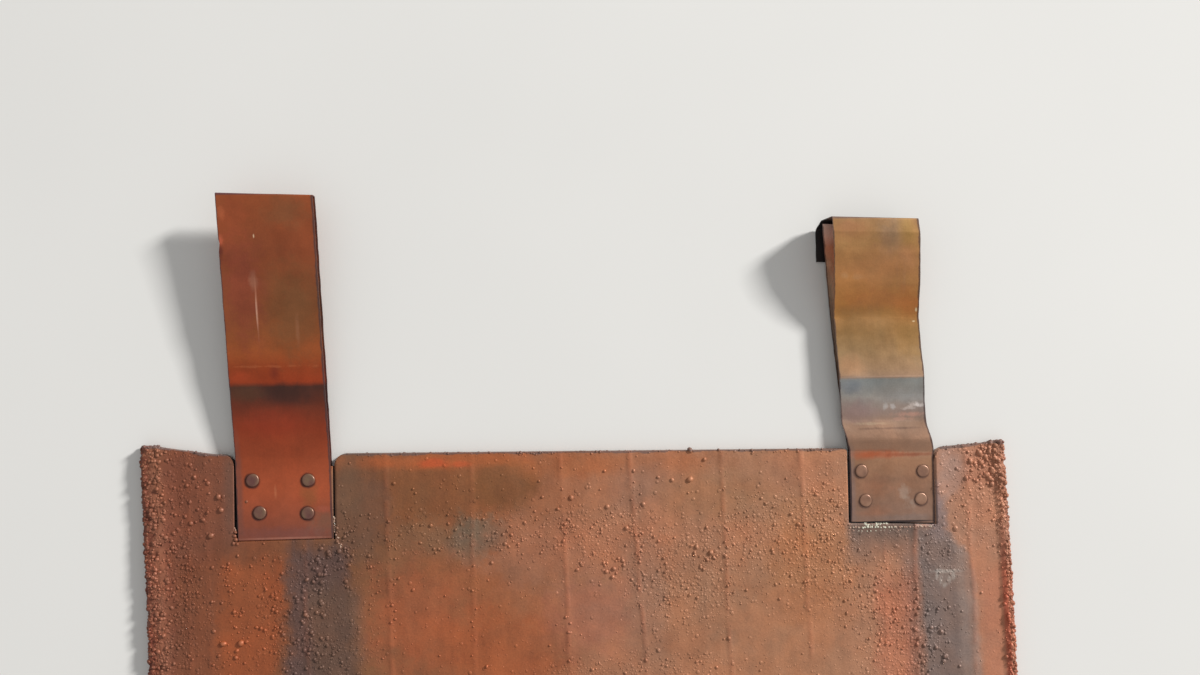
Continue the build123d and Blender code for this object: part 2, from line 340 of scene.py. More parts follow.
@shared_group(
    "Upright run",
    {"Position": VECTOR, "Wander": 0.5, "Drip": 0.5, "Left": 0.0, "Right": 0.0, "Top": 0.0,
     "Bottom": 0.0, "Lean": 0.0, "Softness": 0.005, "Raggedness": 0.01},
    {"Mask": FLOAT})
def run_group(wires, given, result):
    """A mask of an upright run of tarnish, with wandering sides and ends that drip."""
    x, y = wires.split(given["Position"])[:2]
    below_top = wires.minus(y, given["Top"])
    upright = wires.minus(x, wires.times(given["Lean"], below_top))
    push = wires.swing(given["Wander"], given["Raggedness"])
    fall = wires.swing(given["Drip"], given["Raggedness"])
    across = wires.plus(upright, push)
    along = wires.plus(y, wires.times(fall, 1.2), push)
    end_softness = wires.times(given["Softness"], 2.0)
    length = wires.minus(given["Top"], given["Bottom"])
    low_softness = wires.plus(end_softness, wires.times(length, 0.18))
    mask = 1.0
    for distance, softness in (
        (wires.minus(across, given["Left"]), given["Softness"]),
        (wires.minus(given["Right"], across), given["Softness"]),
        (wires.minus(given["Top"], along), end_softness),
        (wires.minus(along, given["Bottom"]), low_softness),
    ):
        inside = wires.span(wires.math("DIVIDE", distance, softness), -1.0, 1.0)
        mask = wires.times(mask, inside)
    wires.plug(result["Mask"], mask)


@shared_group(
    "Growth ridge", {"Across": 0.0, "Along": 0.0, "Top Place": 0.0, "Slant": 0.0},
    {"Crest": FLOAT})
def ridge_group(wires, given, result):
    """An upright growth ridge with a straight crest, from 0 beside it to 1 on the crest."""
    middle = wires.minus(given["Top Place"], wires.times(given["Slant"], given["Along"]))
    away = wires.apart(given["Across"], middle)
    wires.plug(result["Crest"], wires.span(away, 4.5 * MM, 0.2 * MM))


@shared_group(
    "Pimples", {"Position": VECTOR, "Scale": 200.0, "Share": 0.4}, {"Height": FLOAT})
def pimple_group(wires, given, result):
    """Small round growths, one in some of the cells of a cell pattern, from 0 to 1 in height."""
    cells = wires.add(
        "ShaderNodeTexVoronoi", {"Vector": given["Position"], "Scale": given["Scale"]})
    chance = wires.add("ShaderNodeSeparateColor", {0: cells.outputs["Color"]}).outputs
    radius = wires.span(chance["Red"], 0.0, 1.0, 0.28, 0.62, smooth=False)
    share = wires.math("DIVIDE", cells.outputs["Distance"], radius)
    inside = wires.math("MAXIMUM", wires.minus(1.0, wires.times(share, share)), 0.0)
    dome = wires.math("SQRT", inside)
    present = wires.math("LESS_THAN", chance["Green"], given["Share"])
    wires.plug(result["Height"], wires.times(dome, present, radius))


@shared_group(
    "Weathering", {"Position": VECTOR},
    {"Mottle": FLOAT, "Streak": FLOAT, "Speck": FLOAT, "Tint": FLOAT})
def weather_group(wires, given, result):
    """Uneven tone of old copper: mottle, upright streaks, fine specks and tint, each about 0.5."""
    wires.plug(result["Mottle"], wires.noise(given["Position"], 34.0, 6.0, 0.65))
    wires.plug(result["Streak"], wires.stretched(given["Position"], (90.0, 6.0, 90.0), 5.0))
    wires.plug(result["Speck"], wires.noise(given["Position"], 520.0, 3.0, 0.75))
    apart = wires.vector("ADD", given["Position"], (3.1, 1.7, 0.4))
    wires.plug(result["Tint"], wires.noise(apart, 21.0, 5.0, 0.6))


@shared_group(
    "Uneven tone",
    {"Position": VECTOR, "Colour": COLOUR, "Mottle Amount": 0.3, "Streak Amount": 0.3,
     "Speck Amount": 0.3, "Tint Amount": 0.5},
    {"Colour": COLOUR})
def tone_group(wires, given, result):
    """Lightens, darkens and tints a colour unevenly, each by its own amount."""
    weather = wires.group(weather_group, Position=given["Position"])
    gain = wires.plus(1.0, *(
        wires.swing(weather[tone], given[tone + " Amount"])
        for tone in ("Mottle", "Streak", "Speck")))
    scaled = wires.add("ShaderNodeVectorMath", {0: given["Colour"], 3: gain}, operation="SCALE")
    warmth = wires.span(weather["Tint"], 0.34, 0.66)
    tint = wires.mix(warmth, (0.88, 1.0, 1.06, 1.0), (1.14, 0.99, 0.84, 1.0))
    tinted = wires.mix(given["Tint Amount"], scaled.outputs["Vector"], tint, "MULTIPLY")
    wires.plug(result["Colour"], tinted)


def new_material(name):
    """An empty material with its wiring and the sockets of its shader."""
    material = bpy.data.materials.new(name)
    material.use_nodes = True
    material.node_tree.nodes.clear()
    wires = Wiring(material.node_tree)
    surface = wires.add("ShaderNodeBsdfPrincipled")
    wires.add("ShaderNodeOutputMaterial", {"Surface": surface.outputs["BSDF"]})
    return material, wires, surface.inputs


def finish_surface(wires, surface, colour, roughness, metallic, height, depth, strength):
    """Feed a shader its colour, roughness and share of metal, and a bump of a certain depth."""
    bump = wires.add("ShaderNodeBump", {"Height": height, "Distance": depth, "Strength": strength})
    wires.plug(surface["Base Color"], colour)
    wires.plug(surface["Roughness"], roughness)
    wires.plug(surface["Metallic"], metallic)
    wires.plug(surface["Normal"], bump.outputs["Normal"])


def worn_roughness(wires, position, dark, pale):
    """Roughness where the colour's mottle is dark and where it is pale, and between them."""
    weather = wires.group(weather_group, Position=position)
    return wires.span(weather["Mottle"], 0.3, 0.7, dark, pale)


def drawing_position(wires):
    """Object coordinates moved to the plate's drawing."""
    coordinates = wires.add("ShaderNodeTexCoord").outputs["Object"]
    return wires.vector("SUBTRACT", coordinates, tuple(ORIGIN))


def strip_position(wires, strip):
    """The drawing's coordinates with a strip's own middle line as their upright axis."""
    start, jog, lean_start, lean = STRIP_LINES[strip]
    x, y, z = wires.split(drawing_position(wires))
    past = wires.math("MAXIMUM", wires.minus(y, lean_start), 0.0)
    across = wires.minus(wires.plus(x, wires.times(past, lean)), start)
    if jog:
        step = wires.span(y, JOG_START, lean_start, 0.0, jog, smooth=False)
        across = wires.plus(across, step)
    return wires.add("ShaderNodeCombineXYZ", {"X": across, "Y": y, "Z": z}).outputs[0]


# Colour bands from the plate's left edge to its right one: place in the drawing and colour. They
# grow lighter to the right, partly the deposit's own tone and partly painted light from the right
PLATE_BANDS = (
    (-480, (125, 71, 48)), (-370, (133, 77, 48)), (-250, (131, 86, 56)), (-120, (158, 94, 58)),
    (40, (172, 115, 84)), (230, (175, 121, 88)), (480, (179, 123, 95)),
)

# Upright runs of tarnish, in millimetres of the drawing:
# left and right, top and bottom, lean, softness, raggedness, colour, strength
PLATE_RUNS = (
    ((-398, -331), (-112, -330), 0.065, 8, 34, (160, 84, 46), 0.8),
    ((-329, -262), (-96, -300), 0.0, 9, 34, (96, 72, 66), 0.87),
    ((-306, -250), (-140, -420), 0.0, 10, 34, (111, 80, 62), 0.72),
    ((293, 376), (-72, -119), 0.0, 9, 14, (118, 96, 85), 1.0),
    ((354, 388), (-116, -430), -0.03, 9, 20, (138, 103, 88), 0.85),
    ((372, 424), (-92, -430), -0.055, 4.5, 9, (124, 104, 96), 0.95),
    ((414, 435), (-104, -430), -0.055, 5.5, 12, (150, 125, 113), 0.75),
    ((442, 474), (-70, -420), -0.03, 7, 18, (182, 120, 92), 0.7),
    ((476, 500), (-120, -460), -0.02, 4, 12, (170, 92, 66), 0.5),
    ((40, 82), (-100, -225), -0.03, 10, 26, (152, 112, 90), 0.6),
    ((-395, -384), (4, -84), 0.0, 7, 8, (106, 80, 68), 0.55),
    ((-272, -248), (4, -70), 0.0, 8, 22, (114, 82, 60), 0.7),
    ((-480, -452), (-60, -460), 0.0, 9, 20, (130, 70, 50), 0.7),
    ((322, 366), (-150, -280), -0.02, 10, 26, (186, 112, 82), 0.6),
)

# Rounder stains, in millimetres of the drawing:
# centre, reach, raggedness, softness, colour, strength
PLATE_STAINS = (
    ((-425, -45), (66, 60), 0.30, 0.45, (132, 76, 54), 0.7),
    ((-175, -40), (98, 34), 0.35, 0.45, (131, 81, 47), 0.8),
    ((-258, -60), (38, 52), 0.35, 0.45, (116, 80, 60), 0.8),
    ((-94, -32), (33, 28), 0.30, 0.32, (128, 81, 46), 0.8),
    ((-175, -7), (104, 8), 0.35, 0.60, (182, 96, 50), 0.7),
    ((20, -15), (120, 13), 0.40, 0.60, (172, 98, 55), 0.6),
    ((-170, -9), (16, 4.5), 0.45, 0.60, (206, 86, 44), 0.6),
    ((-140, -11), (11, 3.5), 0.45, 0.60, (206, 86, 44), 0.45),
    ((-152, -94), (52, 22), 0.50, 0.60, (126, 94, 68), 0.6),
    ((-121, -93), (25, 20), 0.60, 0.60, (112, 96, 78), 0.85),
    ((-60, -110), (60, 36), 0.40, 0.60, (158, 106, 80), 0.6),
    ((-190, -182), (56, 58), 0.40, 0.55, (170, 92, 56), 0.75),
    ((60, -108), (140, 30), 0.40, 0.60, (184, 114, 80), 0.4),
    ((-95, -215), (78, 40), 0.40, 0.55, (164, 88, 50), 0.75),
    ((8, -180), (46, 40), 0.40, 0.60, (164, 106, 84), 0.6),
    ((60, -40), (34, 30), 0.40, 0.60, (150, 106, 84), 0.6),
    ((150, -52), (60, 26), 0.40, 0.60, (154, 110, 78), 0.6),
    ((140, -160), (60, 70), 0.40, 0.60, (160, 115, 86), 0.5),
    ((250, -125), (44, 60), 0.40, 0.60, (176, 114, 72), 0.6),
    ((235, -30), (40, 22), 0.40, 0.60, (170, 112, 82), 0.5),
    ((414, -38), (18, 36), 0.30, 0.50, (170, 134, 118), 0.8),
    ((450, -34), (22, 40), 0.30, 0.50, (168, 114, 88), 0.6),
    ((-250, -480), (120, 170), 0.40, 0.60, (120, 84, 66), 0.7),
    ((150, -560), (170, 120), 0.45, 0.70, (158, 96, 66), 0.6),
    ((-60, -820), (240, 90), 0.45, 0.60, (124, 92, 74), 0.6),
    ((390, -760), (60, 170), 0.30, 0.50, (132, 106, 94), 0.7),
)

# Stains that lie over the runs
PLATE_LATE_STAINS = (
    ((399, -84), (14, 22), 0.20, 0.45, (134, 112, 106), 0.85),
    ((440, -84), (35, 37), 0.16, 0.16, (176, 124, 96), 0.95),
    ((450, -108), (22, 42), 0.16, 0.16, (178, 123, 94), 0.95),
    ((396, -66), (4, 20), 0.30, 0.60, (148, 120, 116), 0.6),
    ((404, -150), (10, 8), 1.00, 0.90, (150, 138, 130), 0.35),
    ((404, -144.5), (12, 1.5), 0.80, 0.90, (190, 182, 174), 0.5),
    ((394.5, -149), (1.8, 4), 0.80, 0.90, (186, 178, 170), 0.45),
    ((398.5, -155), (1.8, 4), 0.80, 0.90, (186, 178, 170), 0.45),
    ((403, -160), (2.4, 2.6), 0.80, 0.90, (184, 176, 168), 0.45),
    ((408.5, -155), (1.7, 4), 0.80, 0.90, (186, 178, 170), 0.45),
    ((413, -149), (1.7, 4), 0.80, 0.90, (190, 182, 174), 0.45),
)

# Upright growth ridges: place at the top edge, place lower down by the ridges' span, strength
RIDGES = (
    (-434, -432, 0.6), (-415, -410, 0.4), (-312, -306, 0.5), (-222, -217, 0.8), (-128, -126, 0.8),
    (-30, -22, 0.9), (47, 63, 1.0), (152, 157, 0.9), (240, 249, 0.8), (336, 335, 0.6),
    (371, 369, 0.9), (431, 438, 0.8),
)
RIDGE_SPAN = 250

# Sandy patches, in millimetres of the drawing: centre, reach, share covered with grains
SANDY_PLACES = (
    ((17, -92), (80, 34), 0.45), ((108, -137), (66, 60), 0.5), ((205, -98), (70, 46), 0.45),
    ((264, -108), (50, 72), 0.55), ((-138, -86), (88, 26), 0.3), ((-298, -205), (60, 105), 0.4),
    ((-450, -190), (44, 170), 0.45), ((350, -205), (46, 110), 0.5), ((452, -50), (50, 60), 0.35),
    ((-438, -40), (44, 44), 0.3), ((395, -122), (30, 38), 0.4), ((60, -242), (110, 18), 0.35),
    ((-150, -520), (220, 110), 0.4), ((260, -640), (160, 130), 0.4), ((-260, -830), (180, 90), 0.4),
    ((200, -900), (180, 70), 0.35),
)
SANDY_ELSEWHERE = 0.03


def stain_mask(wires, position, wander, centre, reach, raggedness, softness):
    """Mask of one oval of the drawing, given in millimetres."""
    return wires.group(
        stain_group, Position=position, Wander=wander,
        Centre=(centre[0] * MM, centre[1] * MM, 0.0), Reach=(reach[0] * MM, reach[1] * MM, 1.0),
        Raggedness=raggedness, Softness=softness)["Mask"]


def add_stains(wires, position, wander, colour, stains):
    """Lay oval stains over a colour, one after the other."""
    for *oval, tint, strength in stains:
        mask = stain_mask(wires, position, wander, *oval)
        colour = wires.lay(colour, mask, strength, tint)
    return colour


def add_runs(wires, position, wander, drip, colour):
    """Lay the plate's upright runs over a colour."""
    for sides, ends, lean, softness, raggedness, tint, strength in PLATE_RUNS:
        mask = wires.group(
            run_group, Position=position, Wander=wander, Drip=drip,
            Left=sides[0] * MM, Right=sides[1] * MM, Top=ends[0] * MM, Bottom=ends[1] * MM,
            Lean=lean, Softness=softness * MM, Raggedness=raggedness * MM)["Mask"]
        colour = wires.lay(colour, mask, strength, tint)
    return colour


def sandy_share(wires, position, wander):
    """Share of the surface that is covered with grains."""
    total = SANDY_ELSEWHERE
    for centre, reach, share in SANDY_PLACES:
        mask = stain_mask(wires, position, wander, centre, reach, 0.45, 0.6)
        total = wires.math("MAXIMUM", total, wires.times(mask, share))
    return total


# Space beside the tabs that counts as their pockets, and the fading at its rim
POCKET_MARGIN = 7 * MM
POCKET_END_MARGIN = 4 * MM
POCKET_FADE = 2 * MM


def pocket_mask(wires, position):
    """Walls and floors of the two pockets that the strips' tabs sit in, which take painted shade.
    """
    x, y, z = wires.split(position)
    sides = 0.0
    for middle, width in (
        (LEFT_STRIP_X, LEFT_STRIP_WIDTH), (RIGHT_STRIP_X, RIGHT_STRIP_WIDTH),
    ):
        reach = width / 2 + POCKET_MARGIN
        side = wires.span(wires.apart(x, middle), reach + POCKET_FADE, reach)
        sides = wires.plus(sides, side)
    end = -TAB_DEPTH - POCKET_END_MARGIN
    return wires.times(
        sides, wires.span(y, end - POCKET_FADE, end), wires.span(z, 2.2 * MM, 3 * MM),
        wires.span(z, FACE_Z - 0.4 * MM, FACE_Z - 1.6 * MM))


def top_distance(wires, position):
    """Height above the plate's top edge, which falls to the right and rises at both corners."""
    x, y = wires.split(position)[:2]
    line = wires.plus(y, wires.times(x, TOP_EDGE_FALL))
    start, end = HALF_WIDTH - CORNER_RISE_START, HALF_WIDTH - CORNER_RISE_END
    left = wires.span(x, -start, -end, 0.0, LEFT_CORNER_RISE)
    right = wires.span(x, start, end, 0.0, RIGHT_CORNER_RISE)
    return wires.minus(line, wires.plus(left, right))


def edge_distance(wires, position):
    """Distance in from the nearer upright edge, as both edges wander down the plate."""
    x, y = wires.split(position)[:2]
    share = wires.math("DIVIDE", y, -HEIGHT)
    first = 4 * EDGE_DRIFT_MIDDLE - 3 * EDGE_DRIFT_TOP - EDGE_DRIFT_BOTTOM
    second = 2 * EDGE_DRIFT_TOP - 4 * EDGE_DRIFT_MIDDLE + 2 * EDGE_DRIFT_BOTTOM
    bow = wires.plus(wires.times(share, second), first)
    drift = wires.plus(wires.times(bow, share), EDGE_DRIFT_TOP)
    return wires.minus(HALF_WIDTH, wires.apart(x, drift))


def ridge_crests(wires, position):
    """Crests of the growth ridges, bent sideways and broken by noise."""
    x, y = wires.split(position)[:2]
    bend = wires.stretched(position, (9.0, 15.0, 0.0), 2.0)
    across = wires.plus(x, wires.swing(bend, 8 * MM))
    crests = 0.0
    for top_place, low_place, strength in RIDGES:
        crest = wires.group(
            ridge_group, Across=across, Along=y, Top_Place=top_place * MM,
            Slant=(low_place - top_place) / RIDGE_SPAN)["Crest"]
        crests = wires.math("MAXIMUM", crests, wires.times(crest, strength))
    broken = wires.stretched(position, (14.0, 40.0, 0.0))
    return wires.times(crests, wires.span(broken, 0.3, 0.6))


# The bead's lumps reach this much less far in on the right side, which a red line follows
RIGHT_BEAD_SHORTER = 5 * MM
RED_LINE_IN = 9.5 * MM


def bead_masks(wires, position):
    """Masks of the bead's lumpy sides and of the red line on the right one."""
    x, y, z = wires.split(position)
    inward = edge_distance(wires, position)
    on_right = wires.math("GREATER_THAN", x, 0.0)
    banded = wires.plus(inward, wires.times(on_right, RIGHT_BEAD_SHORTER))
    bead = wires.times(wires.span(banded, 17 * MM, 3 * MM), wires.span(z, 1 * MM, 3 * MM))
    beside = wires.span(wires.apart(inward, RED_LINE_IN), 4.5 * MM, 1 * MM)
    red_line = wires.times(beside, on_right, wires.span(y, -50 * MM, -190 * MM))
    return bead, red_line


def banded_colour(wires, x, position):
    """The plate's colour bands from left to right, with swaying borders."""
    sway = wires.stretched(position, (14.0, 3.0, 14.0))
    placed = wires.plus(x, wires.swing(sway, 0.09))
    share = wires.span(placed, -HALF_WIDTH, HALF_WIDTH, smooth=False)
    stops = [(0.5 + place * MM / (2 * HALF_WIDTH), tint) for place, tint in PLATE_BANDS]
    return wires.ramp(share, stops)


# Heights of the deposit's bumps, in millimetres: the bead's lumps, large and small pimples,
# the ridges' crests and the grain
LUMP_BUMP = 1.8
COARSE_BUMP = 1.5
FINE_BUMP = 0.7
CREST_BUMP = 0.5
GRAIN_BUMP = 0.32


@cache
def deposit_material():
    """Grown copper, oxidised in bands and stains, with ridges, pimples and a fine grain."""
    finish = bpy.context.scene.cathode_finish
    material, wires, surface = new_material("grown_copper")
    position = drawing_position(wires)
    x, _, z = wires.split(position)
    wander = wires.noise(position, 48.0, 6.0, 0.62)
    drip = wires.stretched(position, (110.0, 9.0, 110.0), 4.0)
    colour = banded_colour(wires, x, position)
    colour = add_stains(wires, position, wander, colour, PLATE_STAINS)
    colour = add_runs(wires, position, wander, drip, colour)
    colour = add_stains(wires, position, wander, colour, PLATE_LATE_STAINS)
    # Painted highlight: the tops of nodules and lumps standing above the face are painted lighter
    painted_tip_highlight = wires.span(wires.minus(z, FACE_Z), 0.8 * MM, 2.6 * MM)
    colour = wires.mix(wires.times(painted_tip_highlight, 0.25), colour, finish.painted_nodule_highlight)
    top = wires.plus(top_distance(wires, position), wires.swing(wander, 8 * MM))
    colour = wires.lay(colour, wires.span(top, -2.4 * MM, -0.8 * MM), 0.75, (104, 86, 82))
    crests = ridge_crests(wires, position)
    colour = wires.lay(colour, crests, 0.25, (166, 90, 58))
    bead, red_line = bead_masks(wires, position)
    lumps = wires.group(pimple_group, Position=position, Scale=290.0, Share=1.0)["Height"]
    seams = wires.times(wires.span(lumps, 0.26, 0.04), bead)
    colour = wires.lay(colour, seams, 0.6, (112, 46, 30))
    # The right bead's red line is partly red tarnish and partly painted shade on the bead's inner
    # flank
    colour = wires.lay(colour, red_line, 0.6, (172, 68, 44))
    colour = wires.group(
        tone_group, Position=position, Colour=colour, Mottle_Amount=0.85, Streak_Amount=0.3,
        Speck_Amount=0.6, Tint_Amount=0.4)["Colour"]
    # Painted shade, near black, on the pockets' walls and floors round the tabs. Right of the right
    # tab a paler colour is painted there instead, as painted light
    lit_side = wires.span(x, RIGHT_TAB_CORNER_X - MM, RIGHT_TAB_CORNER_X)
    painted_shading = wires.mix(lit_side, finish.painted_pocket_shade, paint(196, 150, 124))
    colour = wires.mix(pocket_mask(wires, position), colour, painted_shading)
    zone = sandy_share(wires, position, wander)
    coarse = wires.group(pimple_group, Position=position, Scale=250.0, Share=zone)["Height"]
    fine = wires.group(pimple_group, Position=position, Scale=460.0, Share=zone)["Height"]
    grain = wires.noise(position, 330.0, 4.0, 0.6)
    height = wires.plus(
        wires.times(coarse, COARSE_BUMP), wires.times(fine, FINE_BUMP),
        wires.times(grain, GRAIN_BUMP), wires.times(crests, CREST_BUMP),
        wires.times(lumps, bead, LUMP_BUMP))
    roughness = worn_roughness(wires, position, dark=0.64, pale=0.46)
    finish_surface(
        wires, surface, colour, roughness, metallic=0.25, height=height, depth=MM, strength=0.9)
    return material


# Middle of the part of the right pocket's end where the salts are clean
CLEAN_SALTS_X = 326 * MM


@cache
def crust_material():
    """Pale salts, partly stained by the copper."""
    finish = bpy.context.scene.cathode_finish
    material, wires, surface = new_material("pocket_salts")
    position = drawing_position(wires)
    x = wires.split(position)[0]
    tone = wires.noise(position, 160.0, 4.0)
    clean = wires.span(wires.apart(x, CLEAN_SALTS_X), 20 * MM, 11 * MM)
    stained = wires.span(wires.minus(tone, wires.times(clean, 0.22)), 0.3, 0.55)
    colour = wires.mix(stained, finish.crust, finish.crust_stained)
    finish_surface(
        wires, surface, colour, roughness=0.75, metallic=0.0, height=tone, depth=0.5 * MM,
        strength=0.8)
    return material


# Colours along each strip, from the tab's end to the tip: place in the drawing and colour
# On the left strip the bands that darken from 34 up to the crease near 80 are partly tarnish and
# partly painted shade below the crease
LEFT_STRIP_BANDS = (
    (-88, (134, 72, 54)), (-70, (150, 77, 52)), (-36, (174, 83, 48)), (0, (158, 70, 36)),
    (34, (146, 56, 24)), (58, (112, 48, 26)), (78.5, (80, 42, 29)), (80.5, (116, 47, 22)),
    (84, (154, 58, 20)), (98, (152, 62, 22)), (116, (164, 82, 36)), (135, (150, 80, 38)),
    (170, (138, 76, 38)), (225, (144, 72, 38)), (262, (150, 75, 38)), (286, (156, 79, 40)),
)
RIGHT_STRIP_BANDS = (
    (-88, (142, 108, 90)), (-50, (147, 107, 83)), (-18, (158, 114, 84)), (-6, (166, 124, 98)),
    (24, (156, 122, 99)), (38, (150, 129, 118)), (56, (152, 146, 139)), (74.5, (140, 141, 137)),
    (76.5, (168, 136, 110)), (86, (162, 129, 96)), (104, (158, 124, 84)), (128, (154, 113, 64)),
    (160, (190, 128, 64)), (200, (182, 127, 75)), (225, (173, 126, 75)), (254, (154, 113, 70)),
)
# The back strip's bands from 130 up are its pink-tan colour painted paler, as painted light where
# the front strip shades it
BACK_STRIP_BANDS = (
    (-88, (130, 98, 80)), (90, (150, 122, 102)), (130, (222, 194, 170)), (180, (214, 186, 156)),
    (206, (220, 166, 132)), (224, (234, 160, 124)), (236, (250, 200, 178)), (254, (252, 222, 208)),
)

# Marks on each strip, in millimetres from its middle line and along the drawing's height:
# centre, reach, raggedness, softness, colour, strength
LEFT_STRIP_MARKS = (
    ((22, 160), (24, 44), 0.4, 0.7, (124, 80, 44), 0.6),
    ((-30, 182), (20, 50), 0.4, 0.7, (140, 62, 44), 0.6),
    ((-36, 262), (17, 24), 0.4, 0.7, (160, 74, 40), 0.5),
    ((20, 268), (22, 15), 0.4, 0.7, (128, 84, 50), 0.5),
    ((-46.5, 266), (3.5, 7), 0.5, 0.7, (200, 104, 62), 0.5),
    ((-49.5, 236), (3, 5), 0.4, 0.7, (200, 98, 68), 0.65),
    ((-50, 224), (3, 7), 0.3, 0.7, (92, 34, 28), 0.7),
    ((-13.8, 240.6), (0.7, 1.9), 0.1, 0.6, (240, 200, 160), 0.85),
    ((-15.8, 164), (0.9, 26), 0.06, 0.7, (196, 132, 104), 0.55),
    ((-16.3, 160), (0.7, 14), 0.06, 0.7, (226, 176, 150), 0.55),
    ((-17.5, 192), (3.4, 8), 0.4, 0.8, (162, 112, 88), 0.5),
    ((25.9, 139), (1.8, 13), 0.3, 0.8, (160, 104, 72), 0.45),
    ((-2, 93), (4, 8), 0.4, 0.8, (108, 36, 22), 0.5),
    ((-38, 90), (9, 6), 0.4, 0.7, (176, 68, 30), 0.5),
    ((-14, 101), (32, 0.8), 1.6, 0.9, (190, 104, 60), 0.35),
    # These two dark marks below the crease are partly tarnish and partly painted shade
    ((10, 70), (26, 10), 0.35, 0.7, (52, 34, 29), 0.6),
    ((-34, 72), (16, 8), 0.35, 0.7, (90, 60, 38), 0.5),
    ((-6, 40), (28, 14), 0.4, 0.7, (152, 54, 27), 0.5),
    ((-9.3, -36), (1.2, 6), 0.2, 0.7, (204, 124, 84), 0.4),
    ((27, -40), (8, 11), 0.4, 0.7, (148, 88, 48), 0.6),
    ((42, -73), (15, 12), 0.9, 0.9, (126, 88, 68), 0.65),
    ((43, -56), (8, 3), 0.4, 0.7, (180, 92, 68), 0.6),
    ((3, -81), (44, 6), 0.5, 0.8, (126, 76, 68), 0.5),
    ((-48, -34), (3.5, 52), 0.2, 0.7, (120, 76, 64), 0.6),
    ((0, -86.6), (46, 1.0), 0.1, 0.7, (180, 118, 98), 0.6),
)
RIGHT_STRIP_MARKS = (
    ((15.8, 232), (12, 20), 0.4, 0.8, (140, 114, 88), 0.7),
    ((36, 236), (9, 17), 0.4, 0.8, (164, 126, 66), 0.7),
    ((-30, 242), (15, 9), 0.4, 0.8, (166, 106, 68), 0.5),
    ((34, 211), (8, 10), 0.4, 0.8, (184, 128, 86), 0.6),
    ((-36, 190), (5, 3), 0.8, 0.6, (190, 144, 98), 0.5),
    ((-24, 188), (7, 3), 0.8, 0.6, (184, 138, 94), 0.45),
    ((30.5, 190), (1.6, 20), 0.5, 0.7, (184, 132, 86), 0.45),
    ((22, 196), (1.2, 12), 0.6, 0.7, (180, 128, 84), 0.35),
    ((10, 200), (30, 26), 0.4, 0.8, (176, 120, 76), 0.5),
    ((10, 163), (40, 9), 0.4, 0.8, (178, 110, 60), 0.6),
    ((36, 158), (13, 15), 0.4, 0.8, (192, 116, 56), 0.7),
    ((-10, 140), (26, 14), 0.4, 0.8, (152, 114, 70), 0.5),
    ((34, 124), (14, 20), 0.4, 0.8, (164, 122, 66), 0.6),
    ((-35, 90), (14, 11), 0.4, 0.8, (184, 134, 94), 0.5),
    ((0, 77.2), (47, 0.8), 0.15, 0.7, (190, 156, 134), 0.6),
    ((-36, 66), (13, 8), 0.4, 0.8, (122, 126, 132), 0.6),
    ((22, 54), (24, 6), 0.5, 0.8, (154, 152, 150), 0.5),
    ((38, 44), (7, 2.6), 0.9, 0.6, (232, 218, 210), 0.8),
    ((30, 41), (9, 2.0), 0.9, 0.6, (214, 200, 192), 0.5),
    ((12, 43), (3, 3), 0.9, 0.6, (206, 202, 200), 0.5),
    ((2, 43), (3, 3), 0.9, 0.6, (200, 198, 196), 0.4),
    ((32, 34), (15, 2.4), 0.8, 0.7, (200, 148, 128), 0.6),
    ((20, 29), (10, 1.6), 0.8, 0.7, (196, 146, 126), 0.45),
    ((-30, 38), (18, 11), 0.4, 0.8, (144, 118, 114), 0.6),
    ((-13, 24), (15, 1.4), 0.9, 0.8, (184, 158, 130), 0.5),
    ((4, 18.5), (30, 1.2), 0.5, 0.7, (112, 84, 70), 0.6),
    ((-24, -11), (25, 4.2), 0.4, 0.9, (180, 92, 54), 0.85),
    ((2, -11.5), (22, 3), 0.5, 0.9, (170, 88, 54), 0.6),
    ((24, -12), (25, 1.8), 0.4, 0.8, (138, 76, 50), 0.75),
    ((-45.5, -46), (3.0, 40), 0.2, 0.8, (140, 114, 106), 0.6),
    # Painted shade: a near-black line along the tab's left edge, in the gap beside it
    ((-47.9, -46), (1.3, 46), 0.06, 0.4, (44, 30, 30), 0.95),
    ((-20, -46), (16, 9), 0.6, 0.8, (168, 112, 82), 0.45),
    ((-20, -76), (14, 7), 0.6, 0.8, (166, 110, 82), 0.5),
    ((13, -55), (5, 9), 0.9, 0.7, (172, 150, 134), 0.45),
    ((21, -66), (8, 6), 0.9, 0.7, (172, 150, 134), 0.45),
    ((0, -40), (34, 4), 0.8, 0.8, (128, 94, 74), 0.45),
    ((8, -83), (40, 3.5), 0.5, 0.8, (128, 110, 102), 0.5),
    # Painted shade: a near-black line along the tab's bottom edge, in the gap below it
    ((0, -87.4), (48, 1.3), 0.03, 0.4, (44, 32, 32), 0.95),
    ((45.5, 152), (1.0, 1.8), 0.4, 0.6, (238, 214, 170), 0.8),
    ((42.4, 139), (1.5, 0.8), 0.4, 0.6, (232, 208, 164), 0.7),
)
BACK_STRIP_MARKS = (
    ((-46, 205), (3.5, 4), 0.4, 0.5, (240, 196, 160), 0.7),
    ((-47, 140), (3, 60), 0.2, 0.6, (112, 96, 82), 0.5),
)

# Rivets on each strip, in millimetres from its middle line and along the drawing's height
LEFT_RIVETS = ((-33.2, -23), (26.8, -24), (-26.7, -58.5), (24.8, -60))
RIGHT_RIVETS = ((-35, -29.5), (36, -31), (-31, -63), (33, -62.5))

# Each strip's bands, marks, rivets, width, and colour of the painted shadow round the rivets
STRIP_LOOKS = {
    "left": (LEFT_STRIP_BANDS, LEFT_STRIP_MARKS, LEFT_RIVETS, LEFT_STRIP_WIDTH, (58, 28, 24)),
    "right": (RIGHT_STRIP_BANDS, RIGHT_STRIP_MARKS, RIGHT_RIVETS, RIGHT_STRIP_WIDTH, (88, 60, 50)),
    "back": (BACK_STRIP_BANDS, BACK_STRIP_MARKS, (), RIGHT_STRIP_WIDTH, (88, 60, 50)),
}

